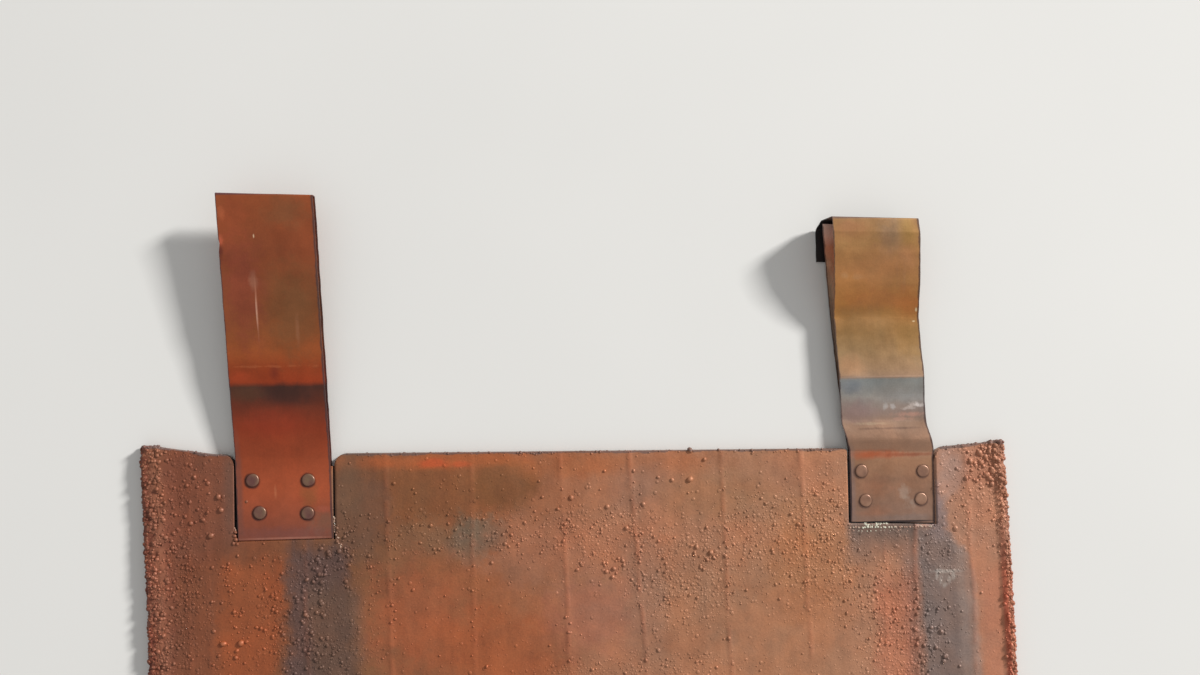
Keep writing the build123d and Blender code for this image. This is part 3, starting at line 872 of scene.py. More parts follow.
# Dark ends of the strips that have one: reach, strength and colour. On the left strip the dark end
# is painted shade on its folded end
STRIP_TIPS = {
    "left": (LEFT_REACH, 0.85, (92, 58, 62)),
    "right": (RIGHT_REACH, 0.7, (96, 76, 74)),
}
# Radius of the painted shadow ring round each rivet, and its shift down and to the left, away from
# the light, in millimetres
RIVET_SHADOW_RING = RIVET_HEAD + 1.3
RIVET_SHADOW_SHIFT = 0.8


def strip_colour(wires, position, wander, bands):
    """Bands of tarnish across a strip, with wavering borders."""
    y = wires.split(position)[1]
    low, high = bands[0][0] * MM, bands[-1][0] * MM
    waver = wires.swing(wander, 3 * MM)
    share = wires.span(wires.plus(y, waver), low, high, smooth=False)
    return wires.ramp(share, [((place * MM - low) / (high - low), tint) for place, tint in bands])


@cache
def strip_material(strip):
    """Heat-tinted strip copper: bands, marks, painted shadow round the rivets, dark edges and
    scratches.
    """
    bands, marks, rivets, width, painted_shading = STRIP_LOOKS[strip]
    half = width / 2
    material, wires, surface = new_material(strip + "_strip_copper")
    position = strip_position(wires, strip)
    x, y, z = wires.split(position)
    wander = wires.noise(position, 85.0, 6.0, 0.62)
    colour = strip_colour(wires, position, wander, bands)
    # Painted shadow: a dark ring round each rivet head, shifted down and to the left
    rings = tuple(
        ((across - RIVET_SHADOW_SHIFT, along - RIVET_SHADOW_SHIFT), (RIVET_SHADOW_RING, RIVET_SHADOW_RING), 0.1, 0.16, painted_shading, 0.85)
        for across, along in rivets)
    colour = add_stains(wires, position, wander, colour, marks + rings)
    rough_x = wires.plus(x, wires.swing(wander, 4 * MM))
    right_edge = wires.span(rough_x, half - 2.4 * MM, half - 1.2 * MM)
    left_edge = wires.span(rough_x, 1.4 * MM - half, 0.4 * MM - half)
    edge = wires.math("MAXIMUM", right_edge, left_edge)
    colour = wires.lay(colour, edge, 0.75, (74, 56, 56))
    colour = wires.group(
        tone_group, Position=position, Colour=colour, Mottle_Amount=0.55, Streak_Amount=0.1,
        Speck_Amount=0.35, Tint_Amount=0.25)["Colour"]
    if strip in STRIP_TIPS:
        reach, strength, tint = STRIP_TIPS[strip]
        # On the left strip this dark end is painted shade on its folded end
        tip = wires.span(y, reach - 3.4 * MM, reach - 2 * MM)
        colour = wires.lay(colour, tip, strength, tint)
    # Painted shade: the right strip's tail, folded down behind the back strip, is painted near
    # black
    if strip == "right":
        painted_tail_shade = wires.span(z, 33 * MM, 25 * MM)
        colour = wires.lay(colour, wires.span(y, 196 * MM, 204 * MM), painted_tail_shade, (40, 34, 33))
    scratch = wires.times(wires.stretched(position, (500.0, 12.0, 500.0), 2.0), 0.3)
    height = wires.plus(scratch, wires.noise(position, 90.0, 4.0))
    roughness = worn_roughness(wires, position, dark=0.36, pale=0.54)
    finish_surface(
        wires, surface, colour, roughness, metallic=0.35, height=height, depth=0.3 * MM,
        strength=0.6)
    return material


# Dark, middle and pale tone of each side's rivet heads
RIVET_TONES = {
    "left": ((106, 66, 62), (122, 86, 72), (132, 108, 80)),
    "right": ((134, 98, 80), (152, 112, 90), (168, 128, 104)),
}


@cache
def rivet_material(side):
    """Dull grey-brown rivet heads with a mottled tone."""
    material, wires, surface = new_material(side + "_rivet_copper")
    position = drawing_position(wires)
    colour = wires.ramp(
        wires.noise(position, 70.0, 4.0), list(zip((0.3, 0.5, 0.7), RIVET_TONES[side])))
    grain = wires.noise(position, 320.0, 3.0)
    finish_surface(
        wires, surface, colour, roughness=0.36, metallic=0.4, height=grain, depth=0.25 * MM,
        strength=0.6)
    return material


# The angle past which an edge stays sharp, and how far dented strips stay above the floor
SMOOTH_ANGLE = radians(38)
FLOOR_CLEARANCE = 0.3 * MM
ACROSS, ALONG = Vector((1, 0, 0)), Vector((0, 1, 0))


def welded_copy(node):
    """The surface of a solid as one closed mesh, without the seams of its triangles."""
    bm = bmesh.new()
    bm.from_mesh(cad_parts[node].data)
    bmesh.ops.remove_doubles(bm, verts=bm.verts, dist=1e-6)
    bmesh.ops.dissolve_limit(
        bm, angle_limit=radians(0.3), verts=bm.verts[:], edges=bm.edges[:])
    return bm


def stations(low, high, step):
    """Evenly spaced cuts between two places, the same ones for every multiple of a step."""
    first = int(low / step) + 1
    return [number * step for number in range(first, int(high / step) + 1) if number * step < high]


def slice_faces(bm, faces, direction, cuts):
    """Cut faces at many places along a direction, halving the work at each cut."""
    if not cuts or not faces:
        return list(faces)
    middle = len(cuts) // 2
    edges = list({edge for face in faces for edge in face.edges})
    corners = list({corner for face in faces for corner in face.verts})
    cut = bmesh.ops.bisect_plane(
        bm, geom=list(faces) + edges + corners, dist=1e-7,
        plane_co=direction * cuts[middle], plane_no=direction)
    pieces = [part for part in cut["geom"] if isinstance(part, bmesh.types.BMFace)]
    below = [f for f in pieces if f.calc_center_median().dot(direction) < cuts[middle]]
    above = [f for f in pieces if f.calc_center_median().dot(direction) >= cuts[middle]]
    return (
        slice_faces(bm, below, direction, cuts[:middle])
        + slice_faces(bm, above, direction, cuts[middle + 1:]))


def slice_grid(bm, faces, step):
    """Cut faces into squares of one step."""
    if not faces:
        return
    for direction in (ALONG, ACROSS):
        places = [v.co.dot(direction) for face in faces for v in face.verts]
        faces = slice_faces(bm, faces, direction, stations(min(places), max(places), step))


def linked(name, data):
    """A new object for some data, linked to the scene."""
    made = bpy.data.objects.new(name, data)
    bpy.context.scene.collection.objects.link(made)
    return made


def finished_mesh(bm, name, material):
    """Turn a bmesh into a mesh with its material."""
    mesh = bpy.data.meshes.new(name)
    bm.to_mesh(mesh)
    bm.free()
    mesh.materials.append(material)
    return mesh


def add_piece(bm, name, material, replaced=(), rounded=False):
    """Turn a bmesh into a piece that rides with the plate, with sharp edges unless rounded."""
    mesh = finished_mesh(bm, name, material)
    mesh.shade_smooth()
    if not rounded:
        mesh.set_sharp_from_angle(angle=SMOOTH_ANGLE)
    piece = linked(name, mesh)
    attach(piece, BODY)
    if replaced:
        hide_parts(*replaced)


def swell(place, across, along, layer):
    """Smooth noise from about -1 to 1, with its own scale each way and for each layer."""
    return noise.noise(Vector((place.x * across, place.y * along, layer)))


def nearness(place, centre, reach):
    """1 in the middle of an oval given in millimetres, 0 on its rim and negative outside."""
    across, along = (place.x / MM - centre[0]) / reach[0], (place.y / MM - centre[1]) / reach[1]
    return 1 - (across ** 2 + along ** 2)


def edge_drift(y):
    """Sideways place of both upright edges at a height of the drawing."""
    share = -y / HEIGHT
    return (
        EDGE_DRIFT_TOP * (1 - share) * (1 - 2 * share)
        + EDGE_DRIFT_MIDDLE * 4 * share * (1 - share)
        + EDGE_DRIFT_BOTTOM * share * (2 * share - 1))


def rim_distances(place):
    """Distance in from the left edge, the right edge and the bottom edge."""
    drift = edge_drift(place.y)
    return place.x - drift + HALF_WIDTH, HALF_WIDTH + drift - place.x, place.y + HEIGHT


# Reach of a growth ridge's foot to each side
RIDGE_REACH = 8 * MM


def ridge_share(x, y):
    """Share of a growth ridge's full height at a place of the drawing."""
    highest = 0.0
    for top_place, low_place, strength in RIDGES:
        middle = top_place * MM - (low_place - top_place) / RIDGE_SPAN * y
        highest = max(highest, strength * (1 - smooth_step(abs(x - middle), 0.0, RIDGE_REACH)))
    return highest


def relief(place, settings):
    """Height of the grown face above its flat level."""
    close = swell(place, 52, 44, 5) + 0.5 * swell(place, 120, 110, 9)
    grown = settings.waviness * swell(place, 9, 6, 0) + settings.lumpiness * close
    return grown + settings.ridge_height * ridge_share(place.x, place.y)


# How many of the bead's lumps lie side by side in a metre, and how steeply they fall to their seams
LUMPS_PER_METRE = 165
LUMP_FALL = 1.7


def bead_lump(place):
    """Rounded lumps packed side by side, from 0 in their seams to 1 on their tops."""
    near = noise.voronoi(place * LUMPS_PER_METRE)[0][0]
    return max(0.0, 1 - LUMP_FALL * near * near) ** 0.5


# The bead along the left, right and bottom edges: width of its top and of its inner slope,
# and width and inner slope of its lumps
BEAD_TOPS = (BEAD_WIDTH, 7.5 * MM, BEAD_WIDTH)
BEAD_SLOPES = (20 * MM, 9 * MM, 20 * MM)
LUMPY_WIDTHS = (BEAD_WIDTH, 8 * MM, BEAD_WIDTH)
LUMPY_SLOPES = (6 * MM, 6 * MM, 6 * MM)
# The relief starts this far in from the edges, on corners this near the face's level
RELIEF_START = 8 * MM
FACE_TOLERANCE = 0.3 * MM
# The finer mesh of the rim, and the slope that the relief may only raise, go past the bead
RIM_MARGIN = 4 * MM
SLOPE_MARGIN = 6 * MM


def edge_share(rims, widths, slopes):
    """Share from 1 on the outer edges to 0 inside, each edge with its own width and slope."""
    return max(
        1 - smooth_step(rim, width, width + slope)
        for rim, width, slope in zip(rims, widths, slopes))


def deposit_move(corner, settings):
    """How far the deposit's growth moves a corner of the plate's mesh."""
    place = drawn(corner.co)
    rims = rim_distances(place)
    inner = min(rims) > RELIEF_START
    onto_bead = edge_share(rims, LUMPY_WIDTHS, LUMPY_SLOPES)
    move = Vector((0, 0, 0))
    if inner and corner.co.z > FACE_Z - FACE_TOLERANCE:
        ramp = edge_share(rims, BEAD_TOPS, BEAD_SLOPES)
        grown = FACE_Z + relief(place, settings) * (1 - onto_bead) + BEAD_RISE * ramp
        on_slope = corner.co.z > FACE_Z + FACE_TOLERANCE and rims[1] > BEAD_WIDTH + SLOPE_MARGIN
        move.z += max(grown - corner.co.z, 0.0) if on_slope else grown - corner.co.z
    if onto_bead > 0:
        lump = (bead_lump(corner.co) - 0.5) * settings.bead_lumps
        outwards = UP if inner and corner.co.z > PLATE_MIDDLE_Z else corner.normal
        move += outwards * lump * onto_bead
    return move


def model_plate():
    """The plate: its solid cut into small squares, then raised as the deposit grew."""
    settings = bpy.context.scene.cathode_plate
    bm = welded_copy("cathode_plate")
    near_y = ORIGIN.y - settings.near_height
    slice_grid(bm, bm.faces[:], settings.back_step)
    slice_faces(bm, bm.faces[:], ALONG, [near_y])
    upper, rim, lower = [], [], []
    for face in bm.faces:
        middle = face.calc_center_median()
        if middle.z <= PLATE_MIDDLE_Z - MM:
            continue
        if middle.y > near_y:
            upper.append(face)
        elif min(rim_distances(drawn(middle))) < BEAD_WIDTH + RIM_MARGIN:
            rim.append(face)
        else:
            lower.append(face)
    for faces, step in (
        (upper, settings.near_step), (rim, settings.rim_step), (lower, settings.far_step),
    ):
        slice_grid(bm, faces, step)
    bm.normal_update()
    moves = [(corner, deposit_move(corner, settings)) for corner in bm.verts]
    for corner, move in moves:
        corner.co += move
        corner.co.z = max(corner.co.z, PLATE_LOW.z)
    bmesh.ops.triangulate(bm, faces=[f for f in bm.faces if len(f.verts) > 4])
    return bm


class CATHODE_OT_plate(Operator):
    """Model the grown plate with its thick lumpy edge."""
    bl_idname = "cathode.plate"
    bl_label = "Grown Plate"

    def execute(self, context):
        add_piece(
            model_plate(), "plate_deposit", deposit_material(), ["cathode_plate"])
        return {"FINISHED"}


# The strips' mesh step, the heights between which they come free of the plate, the sideways
# play of their edges, and the notch in the left one's edge
STRIP_STEP = 4.5 * MM
FREE_START = 5 * MM
FREE_END = 50 * MM
EDGE_PLAY = 0.5 * MM
NOTCH_PLACE = 232 * MM
NOTCH_REACH = 7 * MM
NOTCH_DEPTH = 1.6 * MM


def model_strip(node, strip):
    """A strip of a loop, cut into small squares, then dented and nicked where it is free."""
    settings = bpy.context.scene.cathode_plate
    start = STRIP_LINES[strip][0]
    bm = welded_copy(node)
    slice_grid(bm, bm.faces[:], STRIP_STEP)
    for corner in bm.verts:
        place = drawn(corner.co)
        free = smooth_step(place.y, FREE_START, FREE_END)
        dent = swell(place, 22, 30, 4) + 0.4 * swell(place, 60, 70, 8)
        corner.co.z = max(corner.co.z + settings.strip_dents * dent * free, FLOOR_CLEARANCE)
        corner.co.x += EDGE_PLAY * swell(place, 15, 90, 2) * free
        if strip == "left" and place.x < start - LEFT_STRIP_WIDTH / 2:
            away = abs(place.y - NOTCH_PLACE) / NOTCH_REACH
            corner.co.x += NOTCH_DEPTH * (1 - smooth_step(away, 0, 1))
    return bm


class CATHODE_OT_loops(Operator):
    """Model the strips of the two hanging loops."""
    bl_idname = "cathode.loops"
    bl_label = "Hanging Loops"

    def execute(self, context):
        for node, strip, slot in (
            ("left_loop", "left", "strip_copper"),
            ("right_loop_front", "right", "strip_copper_golden"),
            ("right_loop_back", "back", "strip_copper_golden"),
        ):
            material = strip_material(strip)
            add_piece(model_strip(node, strip), node + "_strip", material, [node])
        return {"FINISHED"}


# A rivet in millimetres: its front head's radius and share of the head's height from the top
# down, its shank, its back head with the rounding of its rim, and each side's height of head
RIVET_TOP = ((0.0, 0.93), (3.6, 0.95), (5.3, 1.0), (6.2, 0.92), (6.8, 0.66), (7.0, 0.3), (7.0, 0.0))
SHANK_RADIUS = 3.0
BACK_HEAD = 1.3
BACK_ROUNDING = 0.6
HEAD_HEIGHTS = {"left": 1.6, "right": 0.9}
RIVET_STEPS = 32
# How far the hammer drove a head out of round, as a share of its radius, and dented its top
HAMMER_SPREAD = 0.09
HAMMER_DENT = 0.25 * MM


def model_rivet(node, side, number):
    """A rivet turned from its profile, with a head that was hammered slightly out of round."""
    low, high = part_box(node)
    centre = Vector(((low.x + high.x) / 2, (low.y + high.y) / 2, 0.0))
    seat = high.z - HEAD_HEIGHTS[side] * MM
    back = low.z + BACK_HEAD * MM
    profile = [(radius, seat + share * (high.z - seat)) for radius, share in RIVET_TOP]
    profile += [
        (SHANK_RADIUS, seat), (SHANK_RADIUS, back), (RIVET_HEAD, back),
        (RIVET_HEAD, low.z + BACK_ROUNDING * MM), (RIVET_HEAD - BACK_ROUNDING, low.z),
        (0.0, low.z)]
    bm = bmesh.new()
    corners = [bm.verts.new(centre + Vector((radius * MM, 0, level))) for radius, level in profile]
    edges = [bm.edges.new(pair) for pair in zip(corners, corners[1:])]
    bmesh.ops.spin(
        bm, geom=corners + edges, cent=centre, axis=UP, angle=2 * pi, steps=RIVET_STEPS,
        use_merge=True)
    bmesh.ops.remove_doubles(bm, verts=bm.verts, dist=0.01 * MM)
    bmesh.ops.recalc_face_normals(bm, faces=bm.faces)
    for corner in bm.verts:
        away = corner.co - centre
        if corner.co.z > seat - 0.01 * MM:
            spread = HAMMER_SPREAD * swell(away, 90, 90, number * 3.7)
            corner.co.x += away.x * spread
            corner.co.y += away.y * spread
            dent = swell(away, 160, 160, number * 5.3)
            corner.co.z += HAMMER_DENT * dent * (corner.co.z - seat) / (high.z - seat)
    return bm


class CATHODE_OT_rivets(Operator):
    """Model the eight rivets with hammered heads."""
    bl_idname = "cathode.rivets"
    bl_label = "Rivets"

    def execute(self, context):
        for side, places in (("left", LEFT_RIVETS), ("right", RIGHT_RIVETS)):
            for number in range(1, len(places) + 1):
                node = f"rivet_{side}_{number}"
                bm = model_rivet(node, side, number)
                add_piece(bm, node + "_hammered", rivet_material(side), [node])
        return {"FINISHED"}


# A nodule's rings and segments, how far its middle is sunk as a share of its radius,
# and how far above the floor it stays
NODULE_SEGMENTS = 7
NODULE_RINGS = 4
NODULE_SINK = 0.25
NODULE_RAISE = 1.25


def nodule_shape():
    """The rounded form that every nodule is a scaled copy of."""
    bm = bmesh.new()
    bmesh.ops.create_uvsphere(
        bm, u_segments=NODULE_SEGMENTS, v_segments=NODULE_RINGS, radius=1.0)
    shape = bpy.data.meshes.new("nodule_shape")
    bm.to_mesh(shape)
    bm.free()
    return shape


def add_nodule(bm, shape, seat, normal, radius, chance):
    """One rounded nodule, partly sunk in the surface below it."""
    seat.z = max(seat.z, PLATE_LOW.z + NODULE_RAISE * radius)
    upright = normal.to_track_quat("Z", "Y").to_matrix().to_4x4()
    spin = Matrix.Rotation(chance.uniform(0, 6.28), 4, "Z")
    size = Matrix.Diagonal((
        radius * chance.uniform(0.85, 1.2), radius * chance.uniform(0.8, 1.1),
        radius * chance.uniform(0.7, 1.0), 1.0))
    place = Matrix.Translation(seat - normal * radius * NODULE_SINK) @ upright @ spin @ size
    shape.transform(place)
    bm.from_mesh(shape)
    shape.transform(place.inverted())


class Seats:
    """Places on the plate's surface, drawn at random by a density."""

    def __init__(self, density):
        mesh = bpy.data.objects["plate_deposit"].data
        self.seats, self.limits, total = [], [], 0.0
        for face in mesh.polygons:
            share = density(face.center, face.normal)
            if share > 0:
                total += share * face.area
                self.seats.append((face.center.copy(), face.normal.copy(), face.area ** 0.5))
                self.limits.append(total)

    def draw(self, chance):
        index = chance.choices(range(len(self.seats)), cum_weights=self.limits)[0]
        centre, normal, width = self.seats[index]
        shift = Vector([chance.uniform(-0.5, 0.5) * width for _ in range(3)])
        return centre + shift - normal * shift.dot(normal), normal


# Places where the nodules grew larger, in millimetres of the drawing: centre, reach, share more
LARGER_ZONES = (
    ((-286, -112), (40, 40), 0.6), ((-300, -170), (50, 60), 0.4), ((452, -26), (34, 40), 0.8),
    ((10, -130), (50, 30), 0.3), ((135, -125), (30, 24), 0.7), ((-405, -60), (60, 70), 0.6),
    ((-390, -200), (50, 50), 0.5), ((390, -215), (40, 60), 0.6),
)
# The higher, the fewer of the nodules are large
SIZE_POWER = 2.7


def growth(place):
    """How much larger the nodules grew at a place of the drawing."""
    return 1.0 + sum(
        more * max(nearness(place, centre, reach), 0.0) for centre, reach, more in LARGER_ZONES)


def scatter(name, density, count, sizes, seed_shift, extra=()):
    """A piece of joined nodules, drawn by a density over the plate: many small and a few large."""
    chance = random.Random(bpy.context.scene.cathode_nodules.seed + seed_shift)
    smallest, largest = sizes
    seats = Seats(density)
    shape = nodule_shape()
    bm = bmesh.new()
    for _ in range(count):
        seat, normal = seats.draw(chance)
        share = growth(drawn(seat)) * chance.random() ** SIZE_POWER
        add_nodule(bm, shape, seat, normal, smallest + (largest - smallest) * share, chance)
    for seat, radius in extra:
        add_nodule(bm, shape, seat, UP, radius, chance)
    bpy.data.meshes.remove(shape)
    add_piece(bm, name, deposit_material(), rounded=True)


# Width of the dense bands of nodules from the outer edge inwards, and of the right one's
# part that is wider near the top corner
LEFT_BAND = 34 * MM
RIGHT_BAND = 13 * MM
RIGHT_BAND_MORE = 26 * MM
BOTTOM_BAND = 24 * MM
# The core of a band, as a share of its width, is dense all over. The top corner, where the
# right band is wider, lies between two heights of the drawing
BAND_CORE = 0.4
CORNER_LOW = -60 * MM
CORNER_HIGH = -20 * MM
# No nodules grow on surfaces that face down nearer to the floor than this
UNDER_LIMIT = 1.5 * MM


def band_density(index, width, corner_bonus=0.0):
    """Density of a band: full on the outer edge, none at its width."""
    def density(centre, normal):
        place = drawn(centre)
        rims = rim_distances(place)
        underneath = centre.z < UNDER_LIMIT and normal.z < -0.5
        if underneath or rims[index] > min(rims) + MM:
            return 0.0
        wide = width + corner_bonus * smooth_step(place.y, CORNER_LOW, CORNER_HIGH)
        clumped = 0.7 + 0.6 * swell(place, 60, 40, 12)
        return (1 - smooth_step(rims[index], BAND_CORE * wide, wide)) * max(clumped, 0.1)
    return density


# The nodules on the top edge lie this near to it, and this far from the strips' middles
TOP_RIM_DEPTH = 2.5 * MM
LEFT_STRIP_GAP = 66 * MM
RIGHT_STRIP_GAP = 60 * MM


def top_rim_density(centre, normal):
    """Density along the top edge, away from the strips."""
    place = drawn(centre)
    below_edge = -(place.y + TOP_EDGE_FALL * place.x)
    beside_left = abs(place.x - LEFT_STRIP_X) > LEFT_STRIP_GAP
    beside_right = abs(place.x - RIGHT_STRIP_X) > RIGHT_STRIP_GAP
    on_rim = centre.z >= PLATE_MIDDLE_Z and below_edge <= TOP_RIM_DEPTH
    return 1.0 if on_rim and beside_left and beside_right else 0.0


class CATHODE_OT_edge_nodules(Operator):
    """Grow the dense nodules along the two sides, the bottom and the top edge."""
    bl_idname = "cathode.edge_nodules"
    bl_label = "Edge Nodules"

    def execute(self, context):
        grown = context.scene.cathode_nodules
        sizes = (grown.edge_smallest, grown.edge_largest)
        right = band_density(1, RIGHT_BAND, RIGHT_BAND_MORE)
        scatter("nodules_left_edge", band_density(0, LEFT_BAND), grown.left_edge, sizes, 1)
        scatter("nodules_right_edge", right, grown.right_edge, sizes, 2)
        scatter("nodules_bottom_edge", band_density(2, BOTTOM_BAND), grown.bottom_edge, sizes, 3)
        sizes = (grown.face_smallest, grown.face_largest * 0.8)
        scatter("nodules_top_rim", top_rim_density, grown.top_rim, sizes, 7)
        return {"FINISHED"}


# Clusters of nodules on the front face, in millimetres of the drawing: centre, reach, density
CLUSTERS = (
    ((-440, -40), (46, 50), 0.6), ((-434, -140), (12, 110), 1.6), ((-452, -150), (26, 130), 1.8),
    ((-405, -150), (30, 60), 0.7), ((-372, -128), (30, 26), 1.4), ((-345, -160), (16, 80), 1.7),
    ((-385, -205), (32, 50), 1.0), ((-290, -112), (22, 22), 3.2), ((-266, -104), (15, 44), 2.8),
    ((-302, -152), (34, 30), 2.4), ((-315, -195), (30, 45), 2.0), ((-280, -222), (36, 40), 1.4),
    ((-256, -75), (20, 34), 1.5), ((-236, -132), (14, 44), 1.8), ((-160, -88), (74, 28), 0.8),
    ((-214, -120), (6, 110), 1.4), ((-126, -160), (6, 100), 1.2), ((-60, -92), (60, 40), 0.8),
    ((-24, -120), (7, 120), 1.6), ((20, -88), (60, 40), 0.8), ((10, -130), (42, 22), 1.3),
    ((85, -122), (52, 34), 0.8), ((100, -165), (45, 30), 0.9), ((55, -100), (8, 110), 1.6),
    ((135, -125), (22, 20), 2.4), ((190, -90), (60, 50), 0.8), ((200, -135), (60, 50), 0.7),
    ((155, -120), (6, 120), 1.4), ((262, -95), (38, 60), 1.5), ((300, -150), (36, 42), 1.6),
    ((332, -190), (40, 60), 1.6), ((385, -215), (32, 60), 2.0), ((395, -120), (24, 34), 1.5),
    ((425, -60), (14, 36), 1.2), ((452, -26), (24, 32), 4.5), ((468, -90), (12, 60), 2.0),
    ((60, -238), (90, 16), 1.0), ((-120, -420), (150, 70), 1.0), ((220, -460), (110, 100), 1.1),
    ((-320, -560), (90, 120), 1.0), ((60, -680), (140, 60), 1.2), ((340, -780), (90, 90), 1.0),
    ((-200, -860), (150, 60), 1.2),
)
# Density of the thin scatter between the clusters, and on the underside's middle, which
# starts this far in from the edges
THIN_SCATTER = 0.06
UNDERSIDE_THIN = 0.3
UNDERSIDE_RIM = 20 * MM
UNDERSIDE_MIDDLE = 60 * MM
# A surface is a face, and no slope, if its normal is this upright and its height this near
FLAT_ENOUGH = 0.8
LEVEL_ENOUGH = 2 * MM

# Large single nodules, in millimetres of the drawing: place and radius
LARGE_NODULES = (
    ((-401.5, -40), 4.2), ((-399, -54.5), 3.6), ((-410, -82), 4.0), ((-427, -18), 3.0),
    ((-432, -45), 3.0), ((-431, -68), 3.0), ((-398, -199), 4.2), ((-379, -199), 4.4),
    ((-384, -79), 2.0), ((-385, -83), 2.4), ((-383.5, -87), 2.5), ((-386, -91), 2.6),
    ((-382, -92), 2.2), ((-266, -136), 3.0), ((116, -1.5), 3.6), ((115, -34), 4.2),
    ((95, -34), 3.2), ((62, -60), 3.4), ((132, -12), 2.8), ((-18, -51), 3.4), ((22, -62), 3.2),
    ((43, -86), 3.4), ((17, -124), 3.0), ((137, -116), 4.0), ((121, -109), 3.4), ((417, -97), 4.0),
    ((391, -230), 3.6), ((402, -240), 3.8),
)


def face_density(low, high):
    """Density of the front face between two heights: a thin scatter and the clusters."""
    def density(centre, normal):
        place = drawn(centre)
        on_face = normal.z >= FLAT_ENOUGH and abs(centre.z - FACE_Z) <= LEVEL_ENOUGH
        if not (on_face and low <= place.y < high):
            return 0.0
        total = THIN_SCATTER
        for middle, reach, share in CLUSTERS:
            near = nearness(place, middle, reach)
            if near > 0:
                total += share * near * max(1 + 1.2 * swell(place, 70, 70, 6), 0.0)
        return total
    return density


def underside_density(centre, normal):
    """Density of the back face: thin in the middle and full near the edges."""
    rim = min(rim_distances(drawn(centre)))
    near_rim = 1 - smooth_step(rim, UNDERSIDE_RIM, UNDERSIDE_MIDDLE)
    faces_down = normal.z < -FLAT_ENOUGH and centre.z > UNDER_LIMIT
    return UNDERSIDE_THIN + near_rim if faces_down else 0.0


class CATHODE_OT_face_nodules(Operator):
    """Grow the clusters and single nodules on both faces."""
    bl_idname = "cathode.face_nodules"
    bl_label = "Face Nodules"

    def execute(self, context):
        grown = context.scene.cathode_nodules
        large = [
            (ORIGIN + Vector((x * MM, y * MM, FACE_Z)), radius * MM)
            for (x, y), radius in LARGE_NODULES]
        divide = -context.scene.cathode_plate.near_height
        upper, lower = face_density(divide, 1.0), face_density(-1.0, divide)
        sizes = (grown.face_smallest, grown.face_largest)
        scatter("nodules_upper_face", upper, grown.upper_face, sizes, 4, large)
        scatter("nodules_lower_face", lower, grown.lower_face, sizes, 5)
        sizes = (grown.face_smallest, grown.face_smallest * 1.6)
        scatter("nodules_underside", underside_density, grown.underside, sizes, 6)
        return {"FINISHED"}


# Rows of salt crystals at the pockets' ends, in millimetres of the drawing:
# start, end, spread to each side, number, smallest and largest radius, depth below the face
CRUST_ROWS = (
    ((297, -92.6), (392, -93.6), 0.4, 31, 1.2, 1.7, -0.2),
    ((300, -96.4), (390, -97.4), 0.8, 18, 0.8, 1.2, 0.0),
    ((312, -89.8), (340, -90.2), 0.8, 38, 1.1, 1.8, 0.5),
    ((386, -92.0), (392.5, -97.0), 0.3, 5, 0.8, 1.2, 0.2),
    ((392.5, -97.0), (398, -91.0), 0.3, 5, 0.8, 1.2, 0.2),
    ((-278.6, -66), (-276.4, -84), 1.0, 18, 0.8, 1.4, 0.9),
    ((-276, -84), (-271, -100), 2.6, 12, 0.8, 1.5, 0.3),
    ((-385.0, -74), (-384.0, -78), 0.8, 4, 0.7, 1.1, 0.8),
)


class CATHODE_OT_crust(Operator):
    """Grow the pale salts at the pockets' ends."""
    bl_idname = "cathode.crust"
    bl_label = "Pocket Crust"

    def execute(self, context):
        chance = random.Random(context.scene.cathode_nodules.seed + 20)
        shape = nodule_shape()
        bm = bmesh.new()
        for start, end, spread, count, smallest, largest, sunk in CRUST_ROWS:
            for number in range(count):
                share = (number + chance.uniform(-0.3, 0.3)) / count
                x, y = (
                    low + (high - low) * share + chance.uniform(-spread, spread)
                    for low, high in zip(start, end))
                seat = ORIGIN + Vector((x * MM, y * MM, FACE_Z - sunk * MM))
                radius = chance.uniform(smallest, largest) * MM
                add_nodule(bm, shape, seat, UP, radius, chance)
        bpy.data.meshes.remove(shape)
        add_piece(bm, "pocket_crust", crust_material(), rounded=True)
        return {"FINISHED"}


CAMERA_PLACE = Vector((-0.037570, 0.459701, 1.013735))
CAMERA_TURN = Euler((radians(1.3866), radians(-2.9712), radians(-1.0251)))
SENSOR_WIDTH = 36
KEY_PLACE = Vector((12.4, 7.95, 6.52))
KEY_SIZE = 2.4
KEY_TARGET = Vector((0.0, 0.25, 0.0))
SKY_COLOUR = (252, 253, 255)
FLOOR_REACH = 6.0


def floor_material():
    """A pale floor with a faint, broad change of tone."""
    stage = bpy.context.scene.cathode_stage
    material, wires, surface = new_material("pale_floor")
    position = wires.add("ShaderNodeTexCoord").outputs["Object"]
    shade = wires.span(wires.noise(position, 1.5), 0.3, 0.7, 0.97, 1.0)
    colour = wires.mix(1.0, tuple(stage.floor_colour), shade, "MULTIPLY")
    wires.plug(surface["Base Color"], colour)
    wires.plug(surface["Roughness"], 0.9)
    return material


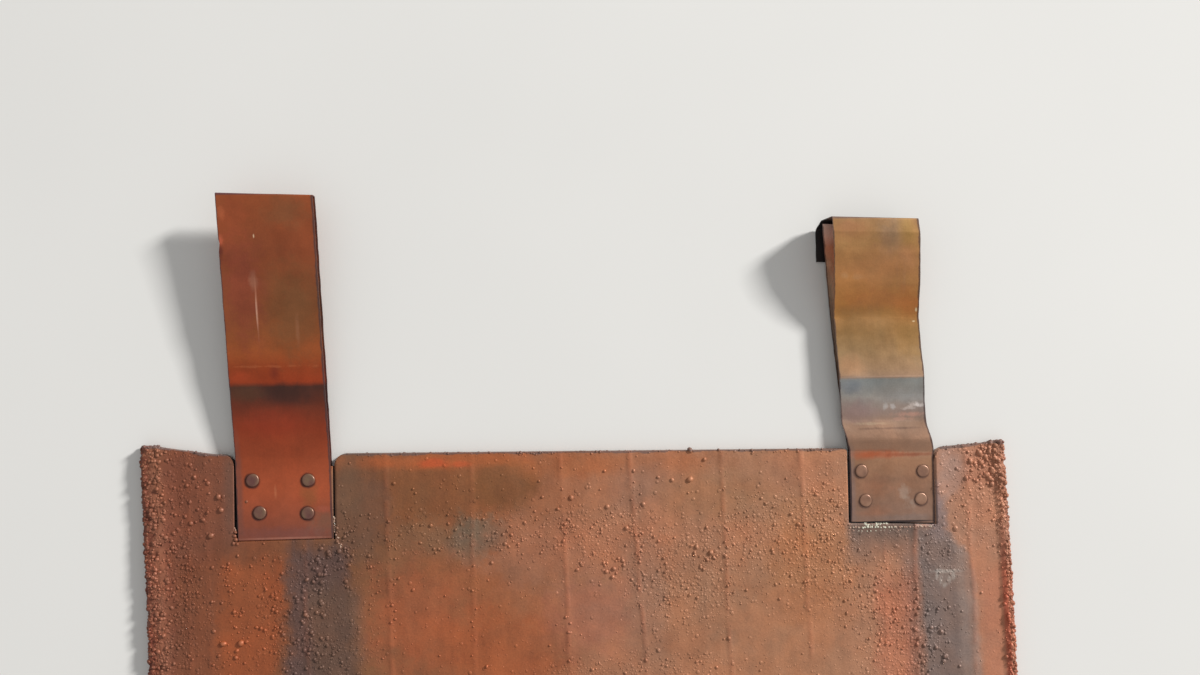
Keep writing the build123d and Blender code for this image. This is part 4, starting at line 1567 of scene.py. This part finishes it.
class CATHODE_OT_stage(Operator):
    """Set up the pale floor, the soft light and the camera."""
    bl_idname = "cathode.stage"
    bl_label = "Stage"

    def execute(self, context):
        scene = context.scene
        stage = scene.cathode_stage
        bm = bmesh.new()
        bmesh.ops.create_grid(bm, x_segments=2, y_segments=2, size=FLOOR_REACH)
        linked("floor", finished_mesh(bm, "floor", floor_material()))
        key = bpy.data.lights.new("key_light", "AREA")
        key.energy = stage.key_power
        key.size = KEY_SIZE
        lamp = linked("key_light", key)
        lamp.location = KEY_PLACE
        lamp.rotation_euler = (KEY_TARGET - KEY_PLACE).to_track_quat("-Z", "Y").to_euler()
        scene.world = bpy.data.worlds.new("even_light")
        scene.world.use_nodes = True
        sky = scene.world.node_tree.nodes["Background"].inputs
        sky["Color"].default_value = paint(*SKY_COLOUR)
        sky["Strength"].default_value = stage.sky_strength
        camera = bpy.data.cameras.new("camera")
        camera.lens = stage.lens
        camera.sensor_width = SENSOR_WIDTH
        scene.camera = linked("camera", camera)
        scene.camera.location = CAMERA_PLACE
        scene.camera.rotation_euler = CAMERA_TURN
        scene.view_settings.view_transform = "Standard"
        return {"FINISHED"}


OPERATORS = (
    CATHODE_OT_stage, CATHODE_OT_plate, CATHODE_OT_edge_nodules, CATHODE_OT_face_nodules,
    CATHODE_OT_crust, CATHODE_OT_loops, CATHODE_OT_rivets,
)
SETTINGS = (
    ("cathode_plate", CathodePlateSettings),
    ("cathode_nodules", CathodeNoduleSettings),
    ("cathode_finish", CathodeFinishSettings),
    ("cathode_stage", CathodeStageSettings),
)


class CATHODE_PT_sidebar(Panel):
    """Lists the steps and their settings."""
    bl_idname = "CATHODE_PT_sidebar"
    bl_label = "Copper Cathode"
    bl_space_type = "VIEW_3D"
    bl_region_type = "UI"
    bl_category = "Cathode"

    def draw(self, context):
        for step in OPERATORS:
            self.layout.operator(step.bl_idname)
        for name, group in SETTINGS:
            box = self.layout.box()
            for field in group.__annotations__:
                box.prop(getattr(context.scene, name), field)


def register():
    for name, group in SETTINGS:
        bpy.utils.register_class(group)
        setattr(bpy.types.Scene, name, PointerProperty(type=group))
    for step in OPERATORS + (CATHODE_PT_sidebar,):
        bpy.utils.register_class(step)


def unregister():
    for step in reversed(OPERATORS + (CATHODE_PT_sidebar,)):
        bpy.utils.unregister_class(step)
    for name, group in reversed(SETTINGS):
        delattr(bpy.types.Scene, name)
        bpy.utils.unregister_class(group)


def main():
    register()
    bpy.ops.cathode.stage()
    bpy.ops.cathode.plate()
    bpy.ops.cathode.edge_nodules()
    bpy.ops.cathode.face_nodules()
    bpy.ops.cathode.crust()
    bpy.ops.cathode.loops()
    bpy.ops.cathode.rivets()


if __name__ == "__main__":
    main()
